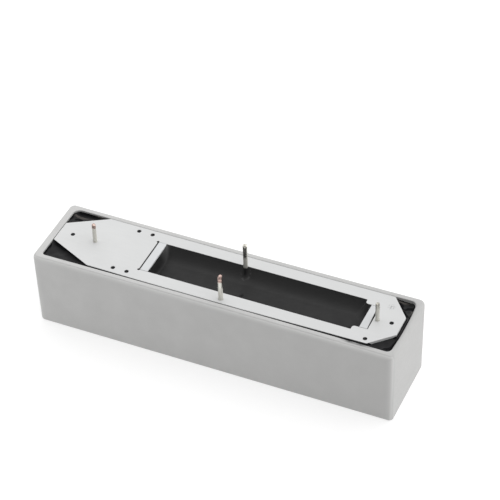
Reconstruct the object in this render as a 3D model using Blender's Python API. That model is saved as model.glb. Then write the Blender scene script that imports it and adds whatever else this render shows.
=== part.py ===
"""Reed relay: an open moulded case with its coil, sealed reed switch and four pins set in black resin.

The relay lies on its closed face with its pins up. The origin is the centre of the closed face,
+X runs along the case, +Y across it and +Z out of the open side. All sizes are in metres.
"""

import math

import bmesh
import bpy
from mathutils import Vector

# Case: a tub whose walls lean in by the draft from the open rim to the closed face, and whose
# long rims are drawn in a little at their middles
CASE_LENGTH = 0.0660
CASE_WIDTH = 0.0150
CASE_HEIGHT = 0.0148
CASE_SIDE_WALL = 0.0011
CASE_LEFT_WALL = 0.0014
CASE_RIGHT_WALL = 0.00095
CASE_FLOOR = 0.0012
CASE_DRAFT = 0.00016
CASE_SIDE_BOW = 0.00015
CASE_CORNER_RADIUS = 0.0009
CASE_FOOT_RADIUS = 0.0003
CASE_RIM_RADIUS = 0.0005
CASE_RIM_INNER_RADIUS = 0.00012
CAVITY_CORNER_RADIUS = 0.0006

# Clearances
SEAT_GAP = 0.0003
PIN_HOLE_GAP = 0.00012
SOLDER_GAP = 0.00015

# Terminal board: an elongated octagon just below the rim, its edges set off from the case's walls
BOARD_RECESS = 0.00005
BOARD_THICKNESS = 0.0016
BOARD_LEFT_GAP = 0.00012
BOARD_RIGHT_GAP = 0.00065
BOARD_NEAR_GAP = 0.00033
BOARD_FAR_GAP = 0.00027
BOARD_TIP_WIDTH = 0.00435
BOARD_LEFT_CHAMFER = 0.0072
BOARD_RIGHT_CHAMFER = 0.0034
BOARD_HOLE_RADIUS = 0.00038
BOARD_PATTERN_Y = 0.00018

# Window in the board, measured from the board's edges: narrowed by two tabs at its right end
WINDOW_LEFT_BAR = 0.01695
WINDOW_RIGHT_BAR = 0.00485
WINDOW_SIDE_RAIL = 0.0023
WINDOW_NECK_LENGTH = 0.0026
WINDOW_NECK_STEP = 0.00095
WINDOW_RELIEF_RADIUS = 0.00028

# Small holes in the board, from its edges and from the window
PAIR_HOLE_EDGE = 0.00104
PAIR_HOLE_PITCH = 0.00257
PAIR_HOLE_TO_WINDOW = 0.00165
LEFT_TIP_HOLE_EDGE = 0.00248
RIGHT_TIP_HOLE_EDGE = 0.00175
SIDE_HOLE_TIP_EDGE = 0.00442

# Coil: a bobbin with a square-shouldered flange at each end and its winding between them
LEFT_FLANGE_GAP = 0.0006
RIGHT_FLANGE_GAP = 0.00045
FLANGE_THICKNESS = 0.00105
FLANGE_SIDE_ROOM = 0.0010
FLANGE_CHAMFER = 0.0010
LEFT_TAB_GAP = 0.00025
RIGHT_TAB_GAP = 0.00015
BOBBIN_WALL = 0.0006
WINDING_DEPTH = 0.0007

# Sealed reed switch, coaxial with the coil
GLASS_PIN_GAP = 0.00235
GLASS_RADIUS = 0.0023
GLASS_WALL = 0.0006
GLASS_SEAL_LENGTH = 0.0030
GLASS_END_ROUND = 0.0012
LEAD_RADIUS = 0.0005
LEAD_OVERHANG = 0.0009
BLADE_ROOT_GAP = 0.0003
BLADE_WIDTH = 0.0022
BLADE_THICKNESS = 0.00035
BLADE_SPACE = 0.0006
BLADE_OVERLAP = 0.0020
BLADE_TAPER = 0.0035
BLADE_TIP_CHAMFER = 0.0003
PAD_LENGTH = 0.0016
PAD_WIDTH = 0.0016
PAD_HEIGHT = 0.0001
PAD_CORNER_RADIUS = 0.0003

# Pins: two straight contact pins, and two coil pins bent to a foot that lies along the winding
CONTACT_PIN_RADIUS = 0.00035
LEFT_PIN_TIP_EDGE = 0.0069
RIGHT_PIN_TIP_EDGE = 0.00415
LEFT_PIN_HEIGHT = 0.0039
RIGHT_PIN_HEIGHT = 0.00375
COIL_PIN_RADIUS = 0.0004
COIL_PIN_HEIGHT = 0.0052
FRONT_PIN_X = 0.0014
FRONT_PIN_EDGE = 0.0010
REAR_PIN_X = 0.0021
REAR_PIN_WINDOW_EDGE = 0.00048
COIL_FOOT_DEGREES = 42
COIL_FOOT_LENGTH = 0.0060
BEND_PULL = 0.55
PIN_TIP_CHAMFER = 0.0001
SOLDER_LENGTH = 0.0017
SOLDER_WIDTH = 0.0022
SOLDER_BELOW = 0.0011
SOLDER_ABOVE = 0.0012

# Coil wire: wrapped round the pin's foot, then along the winding to its end
COIL_WIRE_RADIUS = 0.0001
WRAP_GAP = 0.00015
WRAP_TURNS = 3
WRAP_PITCH = 0.0005

# Potting resin: level below the rim in the corners, dished in the window down to its cover of the winding
RESIN_CORNER_RECESS = 0.0011
RESIN_OVER_WINDING = 0.0011
RESIN_DISH_ROUND = 0.0014
RESIN_LIP_WIDTH = 0.0002
RESIN_LIP_RECESS = 0.0006

# Facets, and how square a blade's section is: 2 is round, more is squarer
CORNER_STEPS = 5
ARC_STEPS = 4
BOW_STEPS = 8
ROUND_SQUARENESS = 2
FLAT_SQUARENESS = 8
ROUND_SIDES = 32
PIN_SIDES = 16
WIRE_SIDES = 8
CUT_REACH = 0.005

# Terminal board and window, from the case
BOARD_TOP = CASE_HEIGHT - BOARD_RECESS
BOARD_UNDERSIDE = BOARD_TOP - BOARD_THICKNESS
BOARD_LEFT = CASE_LEFT_WALL + BOARD_LEFT_GAP - CASE_LENGTH / 2
BOARD_RIGHT = CASE_LENGTH / 2 - CASE_RIGHT_WALL - BOARD_RIGHT_GAP
BOARD_NEAR_Y = CASE_SIDE_WALL + BOARD_NEAR_GAP - CASE_WIDTH / 2
BOARD_FAR_Y = CASE_WIDTH / 2 - CASE_SIDE_WALL - BOARD_FAR_GAP
BOARD_MIDDLE_Y = (BOARD_NEAR_Y + BOARD_FAR_Y) / 2
BOARD_HALF_WIDTH = (BOARD_FAR_Y - BOARD_NEAR_Y) / 2
WINDOW_LEFT = BOARD_LEFT + WINDOW_LEFT_BAR
WINDOW_RIGHT = BOARD_RIGHT - WINDOW_RIGHT_BAR
WINDOW_NECK_X = WINDOW_RIGHT - WINDOW_NECK_LENGTH
WINDOW_HALF_WIDTH = BOARD_HALF_WIDTH - WINDOW_SIDE_RAIL
NECK_HALF_WIDTH = WINDOW_HALF_WIDTH - WINDOW_NECK_STEP

# Pins, from the board's edges and the window's
LEFT_PIN_X = BOARD_LEFT + LEFT_PIN_TIP_EDGE
RIGHT_PIN_X = BOARD_RIGHT - RIGHT_PIN_TIP_EDGE
FRONT_PIN_Y = BOARD_NEAR_Y + FRONT_PIN_EDGE
REAR_PIN_Y = BOARD_PATTERN_Y + WINDOW_HALF_WIDTH - REAR_PIN_WINDOW_EDGE

# Reed and coil, one round the other, half-way between the case's floor and the board
COIL_AXIS_Z = (CASE_FLOOR + BOARD_UNDERSIDE) / 2
GLASS_LEFT = LEFT_PIN_X + GLASS_PIN_GAP
GLASS_RIGHT = RIGHT_PIN_X - GLASS_PIN_GAP
REED_CENTRE_X = (GLASS_LEFT + GLASS_RIGHT) / 2
BORE_RADIUS = GLASS_RADIUS + SEAT_GAP
BOBBIN_TUBE_RADIUS = BORE_RADIUS + BOBBIN_WALL
WINDING_INNER_RADIUS = BOBBIN_TUBE_RADIUS + SEAT_GAP
WINDING_RADIUS = WINDING_INNER_RADIUS + WINDING_DEPTH
LEFT_FLANGE_X = WINDOW_LEFT + LEFT_FLANGE_GAP
RIGHT_FLANGE_X = WINDOW_RIGHT - RIGHT_FLANGE_GAP - FLANGE_THICKNESS
FLANGE_HALF_WIDTH = CASE_WIDTH / 2 - CASE_SIDE_WALL - FLANGE_SIDE_ROOM
LEFT_TAB_HALF_WIDTH = WINDOW_HALF_WIDTH - LEFT_TAB_GAP
RIGHT_TAB_HALF_WIDTH = NECK_HALF_WIDTH - RIGHT_TAB_GAP
WINDING_LEFT = LEFT_FLANGE_X + FLANGE_THICKNESS + SEAT_GAP
WINDING_RIGHT = RIGHT_FLANGE_X - SEAT_GAP
WRAP_RADIUS = COIL_PIN_RADIUS + WRAP_GAP + COIL_WIRE_RADIUS
FOOT_RADIUS_FROM_AXIS = WINDING_RADIUS + SEAT_GAP + WRAP_RADIUS + COIL_WIRE_RADIUS


def clear_scene():
    for old in list(bpy.data.objects):
        bpy.data.objects.remove(old, do_unlink=True)


def make_material(name, color, roughness, metallic=0.0, transmission=0.0):
    material = bpy.data.materials.new(name)
    material.use_nodes = True
    shader = material.node_tree.nodes["Principled BSDF"]
    shader.inputs["Base Color"].default_value = (*color, 1.0)
    shader.inputs["Roughness"].default_value = roughness
    shader.inputs["Metallic"].default_value = metallic
    shader.inputs["Transmission Weight"].default_value = transmission
    return material


def add_object(name, mesh_builder, material=None, location=(0, 0, 0), rotation=(0, 0, 0)):
    """Turn a bmesh into a named object with its faces pointing out."""
    bmesh.ops.recalc_face_normals(mesh_builder, faces=mesh_builder.faces)
    mesh = bpy.data.meshes.new(name)
    mesh_builder.to_mesh(mesh)
    mesh_builder.free()
    thing = bpy.data.objects.new(name, mesh)
    bpy.context.scene.collection.objects.link(thing)
    thing.location = location
    thing.rotation_euler = rotation
    if material:
        mesh.materials.append(material)
    return thing


def smooth(thing, degrees=35):
    thing.data.shade_smooth()
    thing.data.set_sharp_from_angle(angle=math.radians(degrees))
    return thing


def combine(thing, other, operation):
    """Cut, or join, one object with another for good, and take the other away."""
    bpy.context.view_layer.update()
    step = thing.modifiers.new(operation.title(), "BOOLEAN")
    step.operation = operation
    step.solver = "EXACT"
    step.object = other
    bpy.context.view_layer.update()
    evaluated = thing.evaluated_get(bpy.context.evaluated_depsgraph_get())
    result = bpy.data.meshes.new_from_object(evaluated)
    old_mesh = thing.data
    thing.modifiers.clear()
    thing.data = result
    result.name = thing.name
    bpy.data.meshes.remove(old_mesh)
    bpy.data.objects.remove(other, do_unlink=True)


def cut(thing, cutter):
    combine(thing, cutter, "DIFFERENCE")


def join(thing, addition):
    combine(thing, addition, "UNION")


def rounded_rectangle(half_x, half_y, radius, z):
    """One loop of points, counter-clockwise, with an arc at each corner."""
    points = []
    for corner in range(4):
        sign_x = 1 if corner in (0, 3) else -1
        sign_y = 1 if corner in (0, 1) else -1
        centre_x = sign_x * (half_x - radius)
        centre_y = sign_y * (half_y - radius)
        for step in range(CORNER_STEPS + 1):
            angle = math.pi / 2 * (corner + step / CORNER_STEPS)
            x = centre_x + radius * math.cos(angle)
            y = centre_y + radius * math.sin(angle)
            points.append(Vector((x, y, z)))
    return points


def loft(loops, closed=False):
    """Skin a row of loops that have the same number of points, and cap both ends unless it closes."""
    builder = bmesh.new()
    rings = [[builder.verts.new(point) for point in loop] for loop in loops]
    pairs = list(zip(rings, rings[1:]))
    if closed:
        pairs.append((rings[-1], rings[0]))
    for first, second in pairs:
        for index in range(len(first)):
            after = (index + 1) % len(first)
            builder.faces.new((first[index], first[after], second[after], second[index]))
    if not closed:
        builder.faces.new(list(reversed(rings[0])))
        builder.faces.new(rings[-1])
    return builder


def prism(outline, low, high):
    """An upright solid on a flat outline of x, y pairs."""
    return loft([[Vector((x, y, z)) for x, y in outline] for z in (low, high)])


def turned(profile, sides, closed=False):
    """A solid of revolution about local Z, from radius, height pairs."""
    loops = []
    for radius, height in profile:
        loops.append(
            [
                Vector((radius * math.cos(turn), radius * math.sin(turn), height))
                for turn in (2 * math.pi * side / sides for side in range(sides))
            ]
        )
    return loft(loops, closed)


def swept(points, radii, sides):
    """A round wire through the points, one radius for each."""
    loops = []
    side_way = None
    for index, point in enumerate(points):
        before = points[max(index - 1, 0)]
        after = points[min(index + 1, len(points) - 1)]
        forward = (after - before).normalized()
        if side_way is None:
            side_way = forward.orthogonal().normalized()
        side_way = (side_way - forward * side_way.dot(forward)).normalized()
        other_way = forward.cross(side_way)
        loops.append(
            [
                point + radii[index] * (math.cos(turn) * side_way + math.sin(turn) * other_way)
                for turn in (2 * math.pi * side / sides for side in range(sides))
            ]
        )
    return loft(loops)


def offset_outline(outline, distance):
    """Move each edge of a counter-clockwise outline outwards, and meet the edges again."""
    count = len(outline)
    lines = []
    for index in range(count):
        start = Vector(outline[index])
        end = Vector(outline[(index + 1) % count])
        along = (end - start).normalized()
        outwards = Vector((along.y, -along.x))
        lines.append((start + outwards * distance, along))
    moved = []
    for index in range(count):
        point_a, way_a = lines[index - 1]
        point_b, way_b = lines[index]
        across = way_a.x * way_b.y - way_a.y * way_b.x
        between = point_b - point_a
        share = (between.x * way_b.y - between.y * way_b.x) / across
        meeting = point_a + way_a * share
        moved.append((meeting.x, meeting.y))
    return moved


def upright_cylinder(name, x, y, radius, low, high, sides=ROUND_SIDES):
    return add_object(name, turned([(radius, low), (radius, high)], sides), location=(x, y, 0))


def level_cylinder(name, left, right, radius, y=0.0, z=COIL_AXIS_Z, sides=ROUND_SIDES):
    """A plain cylinder along X."""
    builder = turned([(radius, left), (radius, right)], sides)
    return add_object(name, builder, location=(0, y, z), rotation=(0, math.pi / 2, 0))


# Case shell


def case_half_sizes(z, inset=0.0):
    """The outer wall's half length and half width at a height, with the draft."""
    lean = CASE_DRAFT * (1 - z / CASE_HEIGHT) + inset
    return CASE_LENGTH / 2 - lean, CASE_WIDTH / 2 - lean


def wall_loop(half_length, half_width, radius, z, middle_x=0.0):
    """One loop of a wall, its long sides drawn in towards their middles, most at the rim."""
    corners = rounded_rectangle(half_length, half_width, radius, z)
    per_corner = CORNER_STEPS + 1
    points = []
    for corner in range(4):
        arc = corners[corner * per_corner : (corner + 1) * per_corner]
        points.extend(arc)
        if corner in (0, 2):
            after = corners[(corner + 1) * per_corner]
            points.extend(arc[-1].lerp(after, step / BOW_STEPS) for step in range(1, BOW_STEPS))
    bow_here = CASE_SIDE_BOW * z / CASE_HEIGHT
    for point in points:
        point.x += middle_x
        along = 2 * point.x / CASE_LENGTH
        point.y -= math.copysign(bow_here * (1 - along * along), point.y)
    return points


def outer_loop(z, inset):
    half_length, half_width = case_half_sizes(z, inset)
    return wall_loop(half_length, half_width, CASE_CORNER_RADIUS - inset / 2, z)


def cavity_loop(z, inset=0.0):
    half_length, half_width = case_half_sizes(z, inset)
    half_length -= (CASE_LEFT_WALL + CASE_RIGHT_WALL) / 2
    middle_x = (CASE_LEFT_WALL - CASE_RIGHT_WALL) / 2
    return wall_loop(half_length, half_width - CASE_SIDE_WALL, CAVITY_CORNER_RADIUS, z, middle_x)


def make_case_shell():
    loops = []
    for step in range(ARC_STEPS + 1):
        angle = math.pi / 2 * step / ARC_STEPS
        height = CASE_FOOT_RADIUS * (1 - math.cos(angle))
        loops.append(outer_loop(height, CASE_FOOT_RADIUS * (1 - math.sin(angle))))
    for step in range(ARC_STEPS + 1):
        angle = math.pi / 2 * step / ARC_STEPS
        height = CASE_HEIGHT - CASE_RIM_RADIUS * (1 - math.sin(angle))
        loops.append(outer_loop(height, CASE_RIM_RADIUS * (1 - math.cos(angle))))
    inner_steps = ARC_STEPS // 2
    for step in range(inner_steps + 1):
        angle = math.pi / 2 * step / inner_steps
        height = CASE_HEIGHT - CASE_RIM_INNER_RADIUS * (1 - math.cos(angle))
        loops.append(cavity_loop(height, CASE_RIM_INNER_RADIUS * (math.sin(angle) - 1)))
    loops.append(cavity_loop(CASE_FLOOR))
    plastic = make_material("case_plastic", (0.47, 0.47, 0.46), 0.5)
    return smooth(add_object("case_shell", loft(loops), plastic))


# Terminal board


def board_outline():
    tip_low = BOARD_MIDDLE_Y - BOARD_TIP_WIDTH / 2
    tip_high = BOARD_MIDDLE_Y + BOARD_TIP_WIDTH / 2
    return [
        (BOARD_RIGHT, tip_low),
        (BOARD_RIGHT, tip_high),
        (BOARD_RIGHT - BOARD_RIGHT_CHAMFER, BOARD_FAR_Y),
        (BOARD_LEFT + BOARD_LEFT_CHAMFER, BOARD_FAR_Y),
        (BOARD_LEFT, tip_high),
        (BOARD_LEFT, tip_low),
        (BOARD_LEFT + BOARD_LEFT_CHAMFER, BOARD_NEAR_Y),
        (BOARD_RIGHT - BOARD_RIGHT_CHAMFER, BOARD_NEAR_Y),
    ]


def window_outline():
    low = BOARD_PATTERN_Y - WINDOW_HALF_WIDTH
    high = BOARD_PATTERN_Y + WINDOW_HALF_WIDTH
    neck_low = BOARD_PATTERN_Y - NECK_HALF_WIDTH
    neck_high = BOARD_PATTERN_Y + NECK_HALF_WIDTH
    return [
        (WINDOW_LEFT, low),
        (WINDOW_NECK_X, low),
        (WINDOW_NECK_X, neck_low),
        (WINDOW_RIGHT, neck_low),
        (WINDOW_RIGHT, neck_high),
        (WINDOW_NECK_X, neck_high),
        (WINDOW_NECK_X, high),
        (WINDOW_LEFT, high),
    ]


def board_holes():
    """Centres of the small holes that the resin fills: two pairs, one at each tip, one at the side."""
    row = BOARD_HALF_WIDTH - PAIR_HOLE_EDGE
    centres = [
        (BOARD_LEFT + LEFT_TIP_HOLE_EDGE, BOARD_PATTERN_Y),
        (BOARD_RIGHT - RIGHT_TIP_HOLE_EDGE, BOARD_PATTERN_Y),
        (BOARD_RIGHT - SIDE_HOLE_TIP_EDGE, BOARD_PATTERN_Y - row),
    ]
    right_pair = WINDOW_LEFT - PAIR_HOLE_TO_WINDOW
    for x in (right_pair - PAIR_HOLE_PITCH, right_pair):
        centres.append((x, BOARD_PATTERN_Y + row))
        centres.append((x, BOARD_PATTERN_Y - row))
    return centres


def make_terminal_board():
    white = make_material("board_white", (0.76, 0.78, 0.79), 0.55)
    board = add_object("terminal_board", prism(board_outline(), BOARD_UNDERSIDE, BOARD_TOP), white)
    low = BOARD_UNDERSIDE - CUT_REACH
    high = BOARD_TOP + CUT_REACH
    cut(board, add_object("window_cutter", prism(window_outline(), low, high)))
    for side in (-1, 1):
        y = BOARD_PATTERN_Y + side * WINDOW_HALF_WIDTH
        cut(board, upright_cylinder("relief", WINDOW_LEFT, y, WINDOW_RELIEF_RADIUS, low, high, PIN_SIDES))
    for x, y in board_holes():
        cut(board, upright_cylinder("hole", x, y, BOARD_HOLE_RADIUS, low, high, PIN_SIDES))
    pin_holes = (
        (LEFT_PIN_X, 0.0, CONTACT_PIN_RADIUS),
        (RIGHT_PIN_X, 0.0, CONTACT_PIN_RADIUS),
        (FRONT_PIN_X, FRONT_PIN_Y, COIL_PIN_RADIUS),
    )
    for x, y, radius in pin_holes:
        cut(board, upright_cylinder("pin_hole", x, y, radius + PIN_HOLE_GAP, low, high, PIN_SIDES))
    return smooth(board)


# Coil


def flange_solid(name, left, tab_half_width):
    """A chamfered plate that stands on the case floor, with a tab up through the board's window."""
    half = FLANGE_HALF_WIDTH
    bottom = CASE_FLOOR + SEAT_GAP
    shoulder = BOARD_UNDERSIDE - SEAT_GAP
    tab_low = BOARD_PATTERN_Y - tab_half_width
    tab_high = BOARD_PATTERN_Y + tab_half_width
    side_view = [
        (-half + FLANGE_CHAMFER, bottom),
        (half - FLANGE_CHAMFER, bottom),
        (half, bottom + FLANGE_CHAMFER),
        (half, shoulder),
        (tab_high, shoulder),
        (tab_high, BOARD_TOP),
        (tab_low, BOARD_TOP),
        (tab_low, shoulder),
        (-half, shoulder),
        (-half, bottom + FLANGE_CHAMFER),
    ]
    loops = [[Vector((x, y, z)) for y, z in side_view] for x in (left, left + FLANGE_THICKNESS)]
    return add_object(name, loft(loops))


def make_coil_bobbin():
    bobbin = flange_solid("coil_bobbin", LEFT_FLANGE_X, LEFT_TAB_HALF_WIDTH)
    bobbin.data.materials.append(make_material("bobbin_white", (0.75, 0.77, 0.78), 0.5))
    tube_left = LEFT_FLANGE_X + FLANGE_THICKNESS / 2
    tube_right = RIGHT_FLANGE_X + FLANGE_THICKNESS / 2
    join(bobbin, level_cylinder("tube", tube_left, tube_right, BOBBIN_TUBE_RADIUS))
    join(bobbin, flange_solid("right_flange", RIGHT_FLANGE_X, RIGHT_TAB_HALF_WIDTH))
    bore_left = LEFT_FLANGE_X - CUT_REACH
    bore_right = RIGHT_FLANGE_X + FLANGE_THICKNESS + CUT_REACH
    cut(bobbin, level_cylinder("bore", bore_left, bore_right, BORE_RADIUS))
    return smooth(bobbin)


def make_coil_winding():
    """The wound copper, one layer lower at each end where the turns stop."""
    layer = WINDING_DEPTH / 3
    profile = [
        (WINDING_INNER_RADIUS, WINDING_LEFT),
        (WINDING_RADIUS - layer, WINDING_LEFT),
        (WINDING_RADIUS, WINDING_LEFT + layer),
        (WINDING_RADIUS, WINDING_RIGHT - layer),
        (WINDING_RADIUS - layer, WINDING_RIGHT),
        (WINDING_INNER_RADIUS, WINDING_RIGHT),
    ]
    copper = make_material("winding_copper", (0.45, 0.16, 0.07), 0.4, metallic=0.8)
    winding = add_object(
        "coil_winding",
        turned(profile, ROUND_SIDES, closed=True),
        copper,
        location=(0, 0, COIL_AXIS_Z),
        rotation=(0, math.pi / 2, 0),
    )
    return smooth(winding)


# Reed switch


def make_reed_glass():
    """A drawn tube, closed in at both ends round the leads."""
    hole = LEAD_RADIUS + SEAT_GAP
    inner = GLASS_RADIUS - GLASS_WALL
    outside = []
    inside = []
    for step in range(CORNER_STEPS + 1):
        angle = math.pi / 2 * step / CORNER_STEPS
        outside.append(
            (
                GLASS_RADIUS - GLASS_END_ROUND * (1 - math.sin(angle)),
                GLASS_END_ROUND * (1 - math.cos(angle)),
            )
        )
        inside.append(
            (
                hole + (inner - hole) * math.sin(angle),
                GLASS_SEAL_LENGTH + (inner - hole) * (1 - math.cos(angle)),
            )
        )
    end_profile = [(hole, 0.0)] + outside
    left_side = [(radius, GLASS_LEFT + along) for radius, along in end_profile]
    right_side = [(radius, GLASS_RIGHT - along) for radius, along in reversed(end_profile)]
    inside_right = [(radius, GLASS_RIGHT - along) for radius, along in inside]
    inside_left = [(radius, GLASS_LEFT + along) for radius, along in reversed(inside)]
    profile = left_side + right_side + inside_right + inside_left
    glass = add_object(
        "reed_glass",
        turned(profile, ROUND_SIDES, closed=True),
        make_material("reed_glass", (0.72, 0.83, 0.76), 0.05, transmission=0.9),
        location=(0, 0, COIL_AXIS_Z),
        rotation=(0, math.pi / 2, 0),
    )
    return smooth(glass)


def make_reed_lead(name, side, pin_x):
    """A round nickel-iron lead, from past its pin to the inner end of the glass seal."""
    seal_end = GLASS_LEFT + GLASS_SEAL_LENGTH if side < 0 else GLASS_RIGHT - GLASS_SEAL_LENGTH
    outer_end = pin_x + side * LEAD_OVERHANG
    low, high = sorted((outer_end, seal_end))
    chamfer = PIN_TIP_CHAMFER
    profile = [
        (LEAD_RADIUS - chamfer, low),
        (LEAD_RADIUS, low + chamfer),
        (LEAD_RADIUS, high - chamfer),
        (LEAD_RADIUS - chamfer, high),
    ]
    lead = add_object(
        name,
        turned(profile, PIN_SIDES),
        make_material(name, (0.45, 0.43, 0.40), 0.35, metallic=1.0),
        location=(0, 0, COIL_AXIS_Z),
        rotation=(0, math.pi / 2, 0),
    )
    return smooth(lead)


def blade_root_x(side):
    seal_end = GLASS_LEFT + GLASS_SEAL_LENGTH if side < 0 else GLASS_RIGHT - GLASS_SEAL_LENGTH
    return seal_end - side * BLADE_ROOT_GAP


def blade_section(half_width, half_height, squareness, x, z):
    """A loop from round to nearly rectangular, across X."""
    points = []
    for step in range(PIN_SIDES):
        angle = 2 * math.pi * (step + 0.5) / PIN_SIDES
        cosine = math.cos(angle)
        sine = math.sin(angle)
        power = 2 / squareness
        y = half_width * math.copysign(abs(cosine) ** power, cosine)
        lift = half_height * math.copysign(abs(sine) ** power, sine)
        points.append(Vector((x, y, z + lift)))
    return points


def make_reed_blade(name, side):
    """A blade rolled flat from round wire, set off the axis, with a contact pad near its tip.

    It is modelled about its own root, where it bends, and points to the reed's middle.
    """
    root_x = blade_root_x(side)
    inwards = -side
    length = abs(REED_CENTRE_X - root_x) + BLADE_OVERLAP / 2
    offset = -side * (BLADE_SPACE + BLADE_THICKNESS) / 2
    stations = []
    taper_steps = 6
    for step in range(taper_steps + 1):
        share = step / taper_steps
        ease = share * share * (3 - 2 * share)
        half_width = LEAD_RADIUS + (BLADE_WIDTH / 2 - LEAD_RADIUS) * ease
        half_height = LEAD_RADIUS + (BLADE_THICKNESS / 2 - LEAD_RADIUS) * ease
        squareness = ROUND_SQUARENESS + (FLAT_SQUARENESS - ROUND_SQUARENESS) * ease
        stations.append((share * BLADE_TAPER, half_width, half_height, squareness, offset * ease))
    for along, half_width in (
        (length - BLADE_TIP_CHAMFER, BLADE_WIDTH / 2),
        (length, BLADE_WIDTH / 2 - BLADE_TIP_CHAMFER),
    ):
        stations.append((along, half_width, BLADE_THICKNESS / 2, FLAT_SQUARENESS, offset))
    loops = [blade_section(wide, high, square, inwards * x, z) for x, wide, high, square, z in stations]
    iron = make_material(name, (0.50, 0.48, 0.45), 0.3, metallic=1.0)
    blade = add_object(name, loft(loops), iron, location=(root_x, 0, COIL_AXIS_Z))
    bpy.context.view_layer.update()
    facing = -math.copysign(1, offset)
    face_z = offset + facing * BLADE_THICKNESS / 2
    pad_middle = REED_CENTRE_X - root_x
    pad_low, pad_high = sorted((face_z - facing * BLADE_THICKNESS / 2, face_z + facing * PAD_HEIGHT))
    pad_loops = []
    for z in (pad_low, pad_high):
        loop = rounded_rectangle(PAD_LENGTH / 2, PAD_WIDTH / 2, PAD_CORNER_RADIUS, z)
        pad_loops.append([point + Vector((pad_middle, 0, 0)) for point in loop])
    join(blade, add_object("pad", loft(pad_loops), location=(root_x, 0, COIL_AXIS_Z)))
    return smooth(blade)


# Pins, wires and solder


def make_contact_pin(name, x, height):
    """A straight tinned wire that stands on the reed's lead and leaves through the board."""
    low = COIL_AXIS_Z + LEAD_RADIUS + SOLDER_GAP
    high = BOARD_TOP + height
    profile = [
        (CONTACT_PIN_RADIUS, low),
        (CONTACT_PIN_RADIUS, high - PIN_TIP_CHAMFER),
        (CONTACT_PIN_RADIUS - PIN_TIP_CHAMFER, high),
    ]
    tin = make_material(name, (0.62, 0.60, 0.57), 0.3, metallic=1.0)
    return smooth(add_object(name, turned(profile, PIN_SIDES), tin, location=(x, 0, 0)))


def foot_place(side):
    """Where the foot of a coil pin rests on the winding's shoulder, to one side of its top."""
    turn = math.radians(COIL_FOOT_DEGREES)
    y = side * FOOT_RADIUS_FROM_AXIS * math.sin(turn)
    return y, COIL_AXIS_Z + FOOT_RADIUS_FROM_AXIS * math.cos(turn)


def coil_pin_path(x, y, direction):
    """Down through the board, in one smooth bend to the winding's shoulder, and along it."""
    side = math.copysign(1, y)
    foot_y, foot_z = foot_place(side)
    top = BOARD_TOP + COIL_PIN_HEIGHT
    drop = BOARD_UNDERSIDE - foot_z
    start = Vector((x, y, BOARD_UNDERSIDE))
    finish = Vector((x + direction * drop, foot_y, foot_z))
    start_pull = start - Vector((0, 0, drop * BEND_PULL))
    finish_pull = finish - Vector((direction * drop * BEND_PULL, 0, 0))
    points = [Vector((x, y, top)), Vector((x, y, top - PIN_TIP_CHAMFER))]
    bend_steps = 8
    for step in range(bend_steps + 1):
        share = step / bend_steps
        rest = 1 - share
        point = rest**3 * start + share**3 * finish
        point += 3 * rest**2 * share * start_pull + 3 * rest * share**2 * finish_pull
        points.append(point)
    points.append(Vector((x + direction * COIL_FOOT_LENGTH, foot_y, foot_z)))
    return points


def make_coil_pin(name, x, y, direction):
    points = coil_pin_path(x, y, direction)
    radii = [COIL_PIN_RADIUS] * len(points)
    radii[0] = COIL_PIN_RADIUS - PIN_TIP_CHAMFER
    tin = make_material(name, (0.62, 0.60, 0.57), 0.3, metallic=1.0)
    return smooth(add_object(name, swept(points, radii, PIN_SIDES), tin))


def wire_run_place(side):
    """Where the thin wire lies on the winding, under the foot of its pin."""
    foot_y, foot_z = foot_place(side)
    away = Vector((0, foot_y, foot_z - COIL_AXIS_Z)).normalized()
    away *= WINDING_RADIUS + SEAT_GAP + COIL_WIRE_RADIUS
    return away.y, COIL_AXIS_Z + away.z


def make_coil_wire(name, x, y, direction):
    """Three turns round the foot of the pin, then a straight run to the winding's end."""
    side = math.copysign(1, y)
    foot_y, foot_z = foot_place(side)
    wrap_end = x + direction * (COIL_FOOT_LENGTH - WRAP_GAP)
    wrap_start = wrap_end - direction * WRAP_TURNS * WRAP_PITCH
    points = []
    turn_steps = 12
    for step in range(WRAP_TURNS * turn_steps + 1):
        turn = 2 * math.pi * step / turn_steps
        along = wrap_start + direction * WRAP_PITCH * step / turn_steps
        around_y = foot_y + WRAP_RADIUS * math.sin(turn)
        around_z = foot_z + WRAP_RADIUS * math.cos(turn)
        points.append(Vector((along, around_y, around_z)))
    winding_end = WINDING_LEFT if direction < 0 else WINDING_RIGHT
    run_end = winding_end - direction * SEAT_GAP
    run_y, run_z = wire_run_place(side)
    settle_x = wrap_end + direction * 2 * COIL_PIN_RADIUS
    for run_x in (settle_x, (settle_x + run_end) / 2, run_end):
        points.append(Vector((run_x, run_y, run_z)))
    copper = make_material(name, (0.55, 0.22, 0.10), 0.35, metallic=0.9)
    radii = [COIL_WIRE_RADIUS] * len(points)
    return smooth(add_object(name, swept(points, radii, WIRE_SIDES), copper))


def solder_solid(name, x, grow=0.0, material=None):
    """An upright egg of solder round the place where a pin stands on a lead."""
    half_x = SOLDER_LENGTH / 2 + grow
    half_y = SOLDER_WIDTH / 2 + grow
    low = COIL_AXIS_Z - SOLDER_BELOW - grow
    high = COIL_AXIS_Z + SOLDER_ABOVE + grow
    middle = (low + high) / 2
    rings = 8
    loops = []
    for step in range(rings + 1):
        angle = math.pi * (step + 0.5) / (rings + 1) - math.pi / 2
        wide = math.cos(angle)
        height = middle + (high - low) / 2 * math.sin(angle)
        loops.append(
            [
                Vector((x + half_x * wide * math.cos(turn), half_y * wide * math.sin(turn), height))
                for turn in (2 * math.pi * side / PIN_SIDES for side in range(PIN_SIDES))
            ]
        )
    return add_object(name, loft(loops), material)


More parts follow.
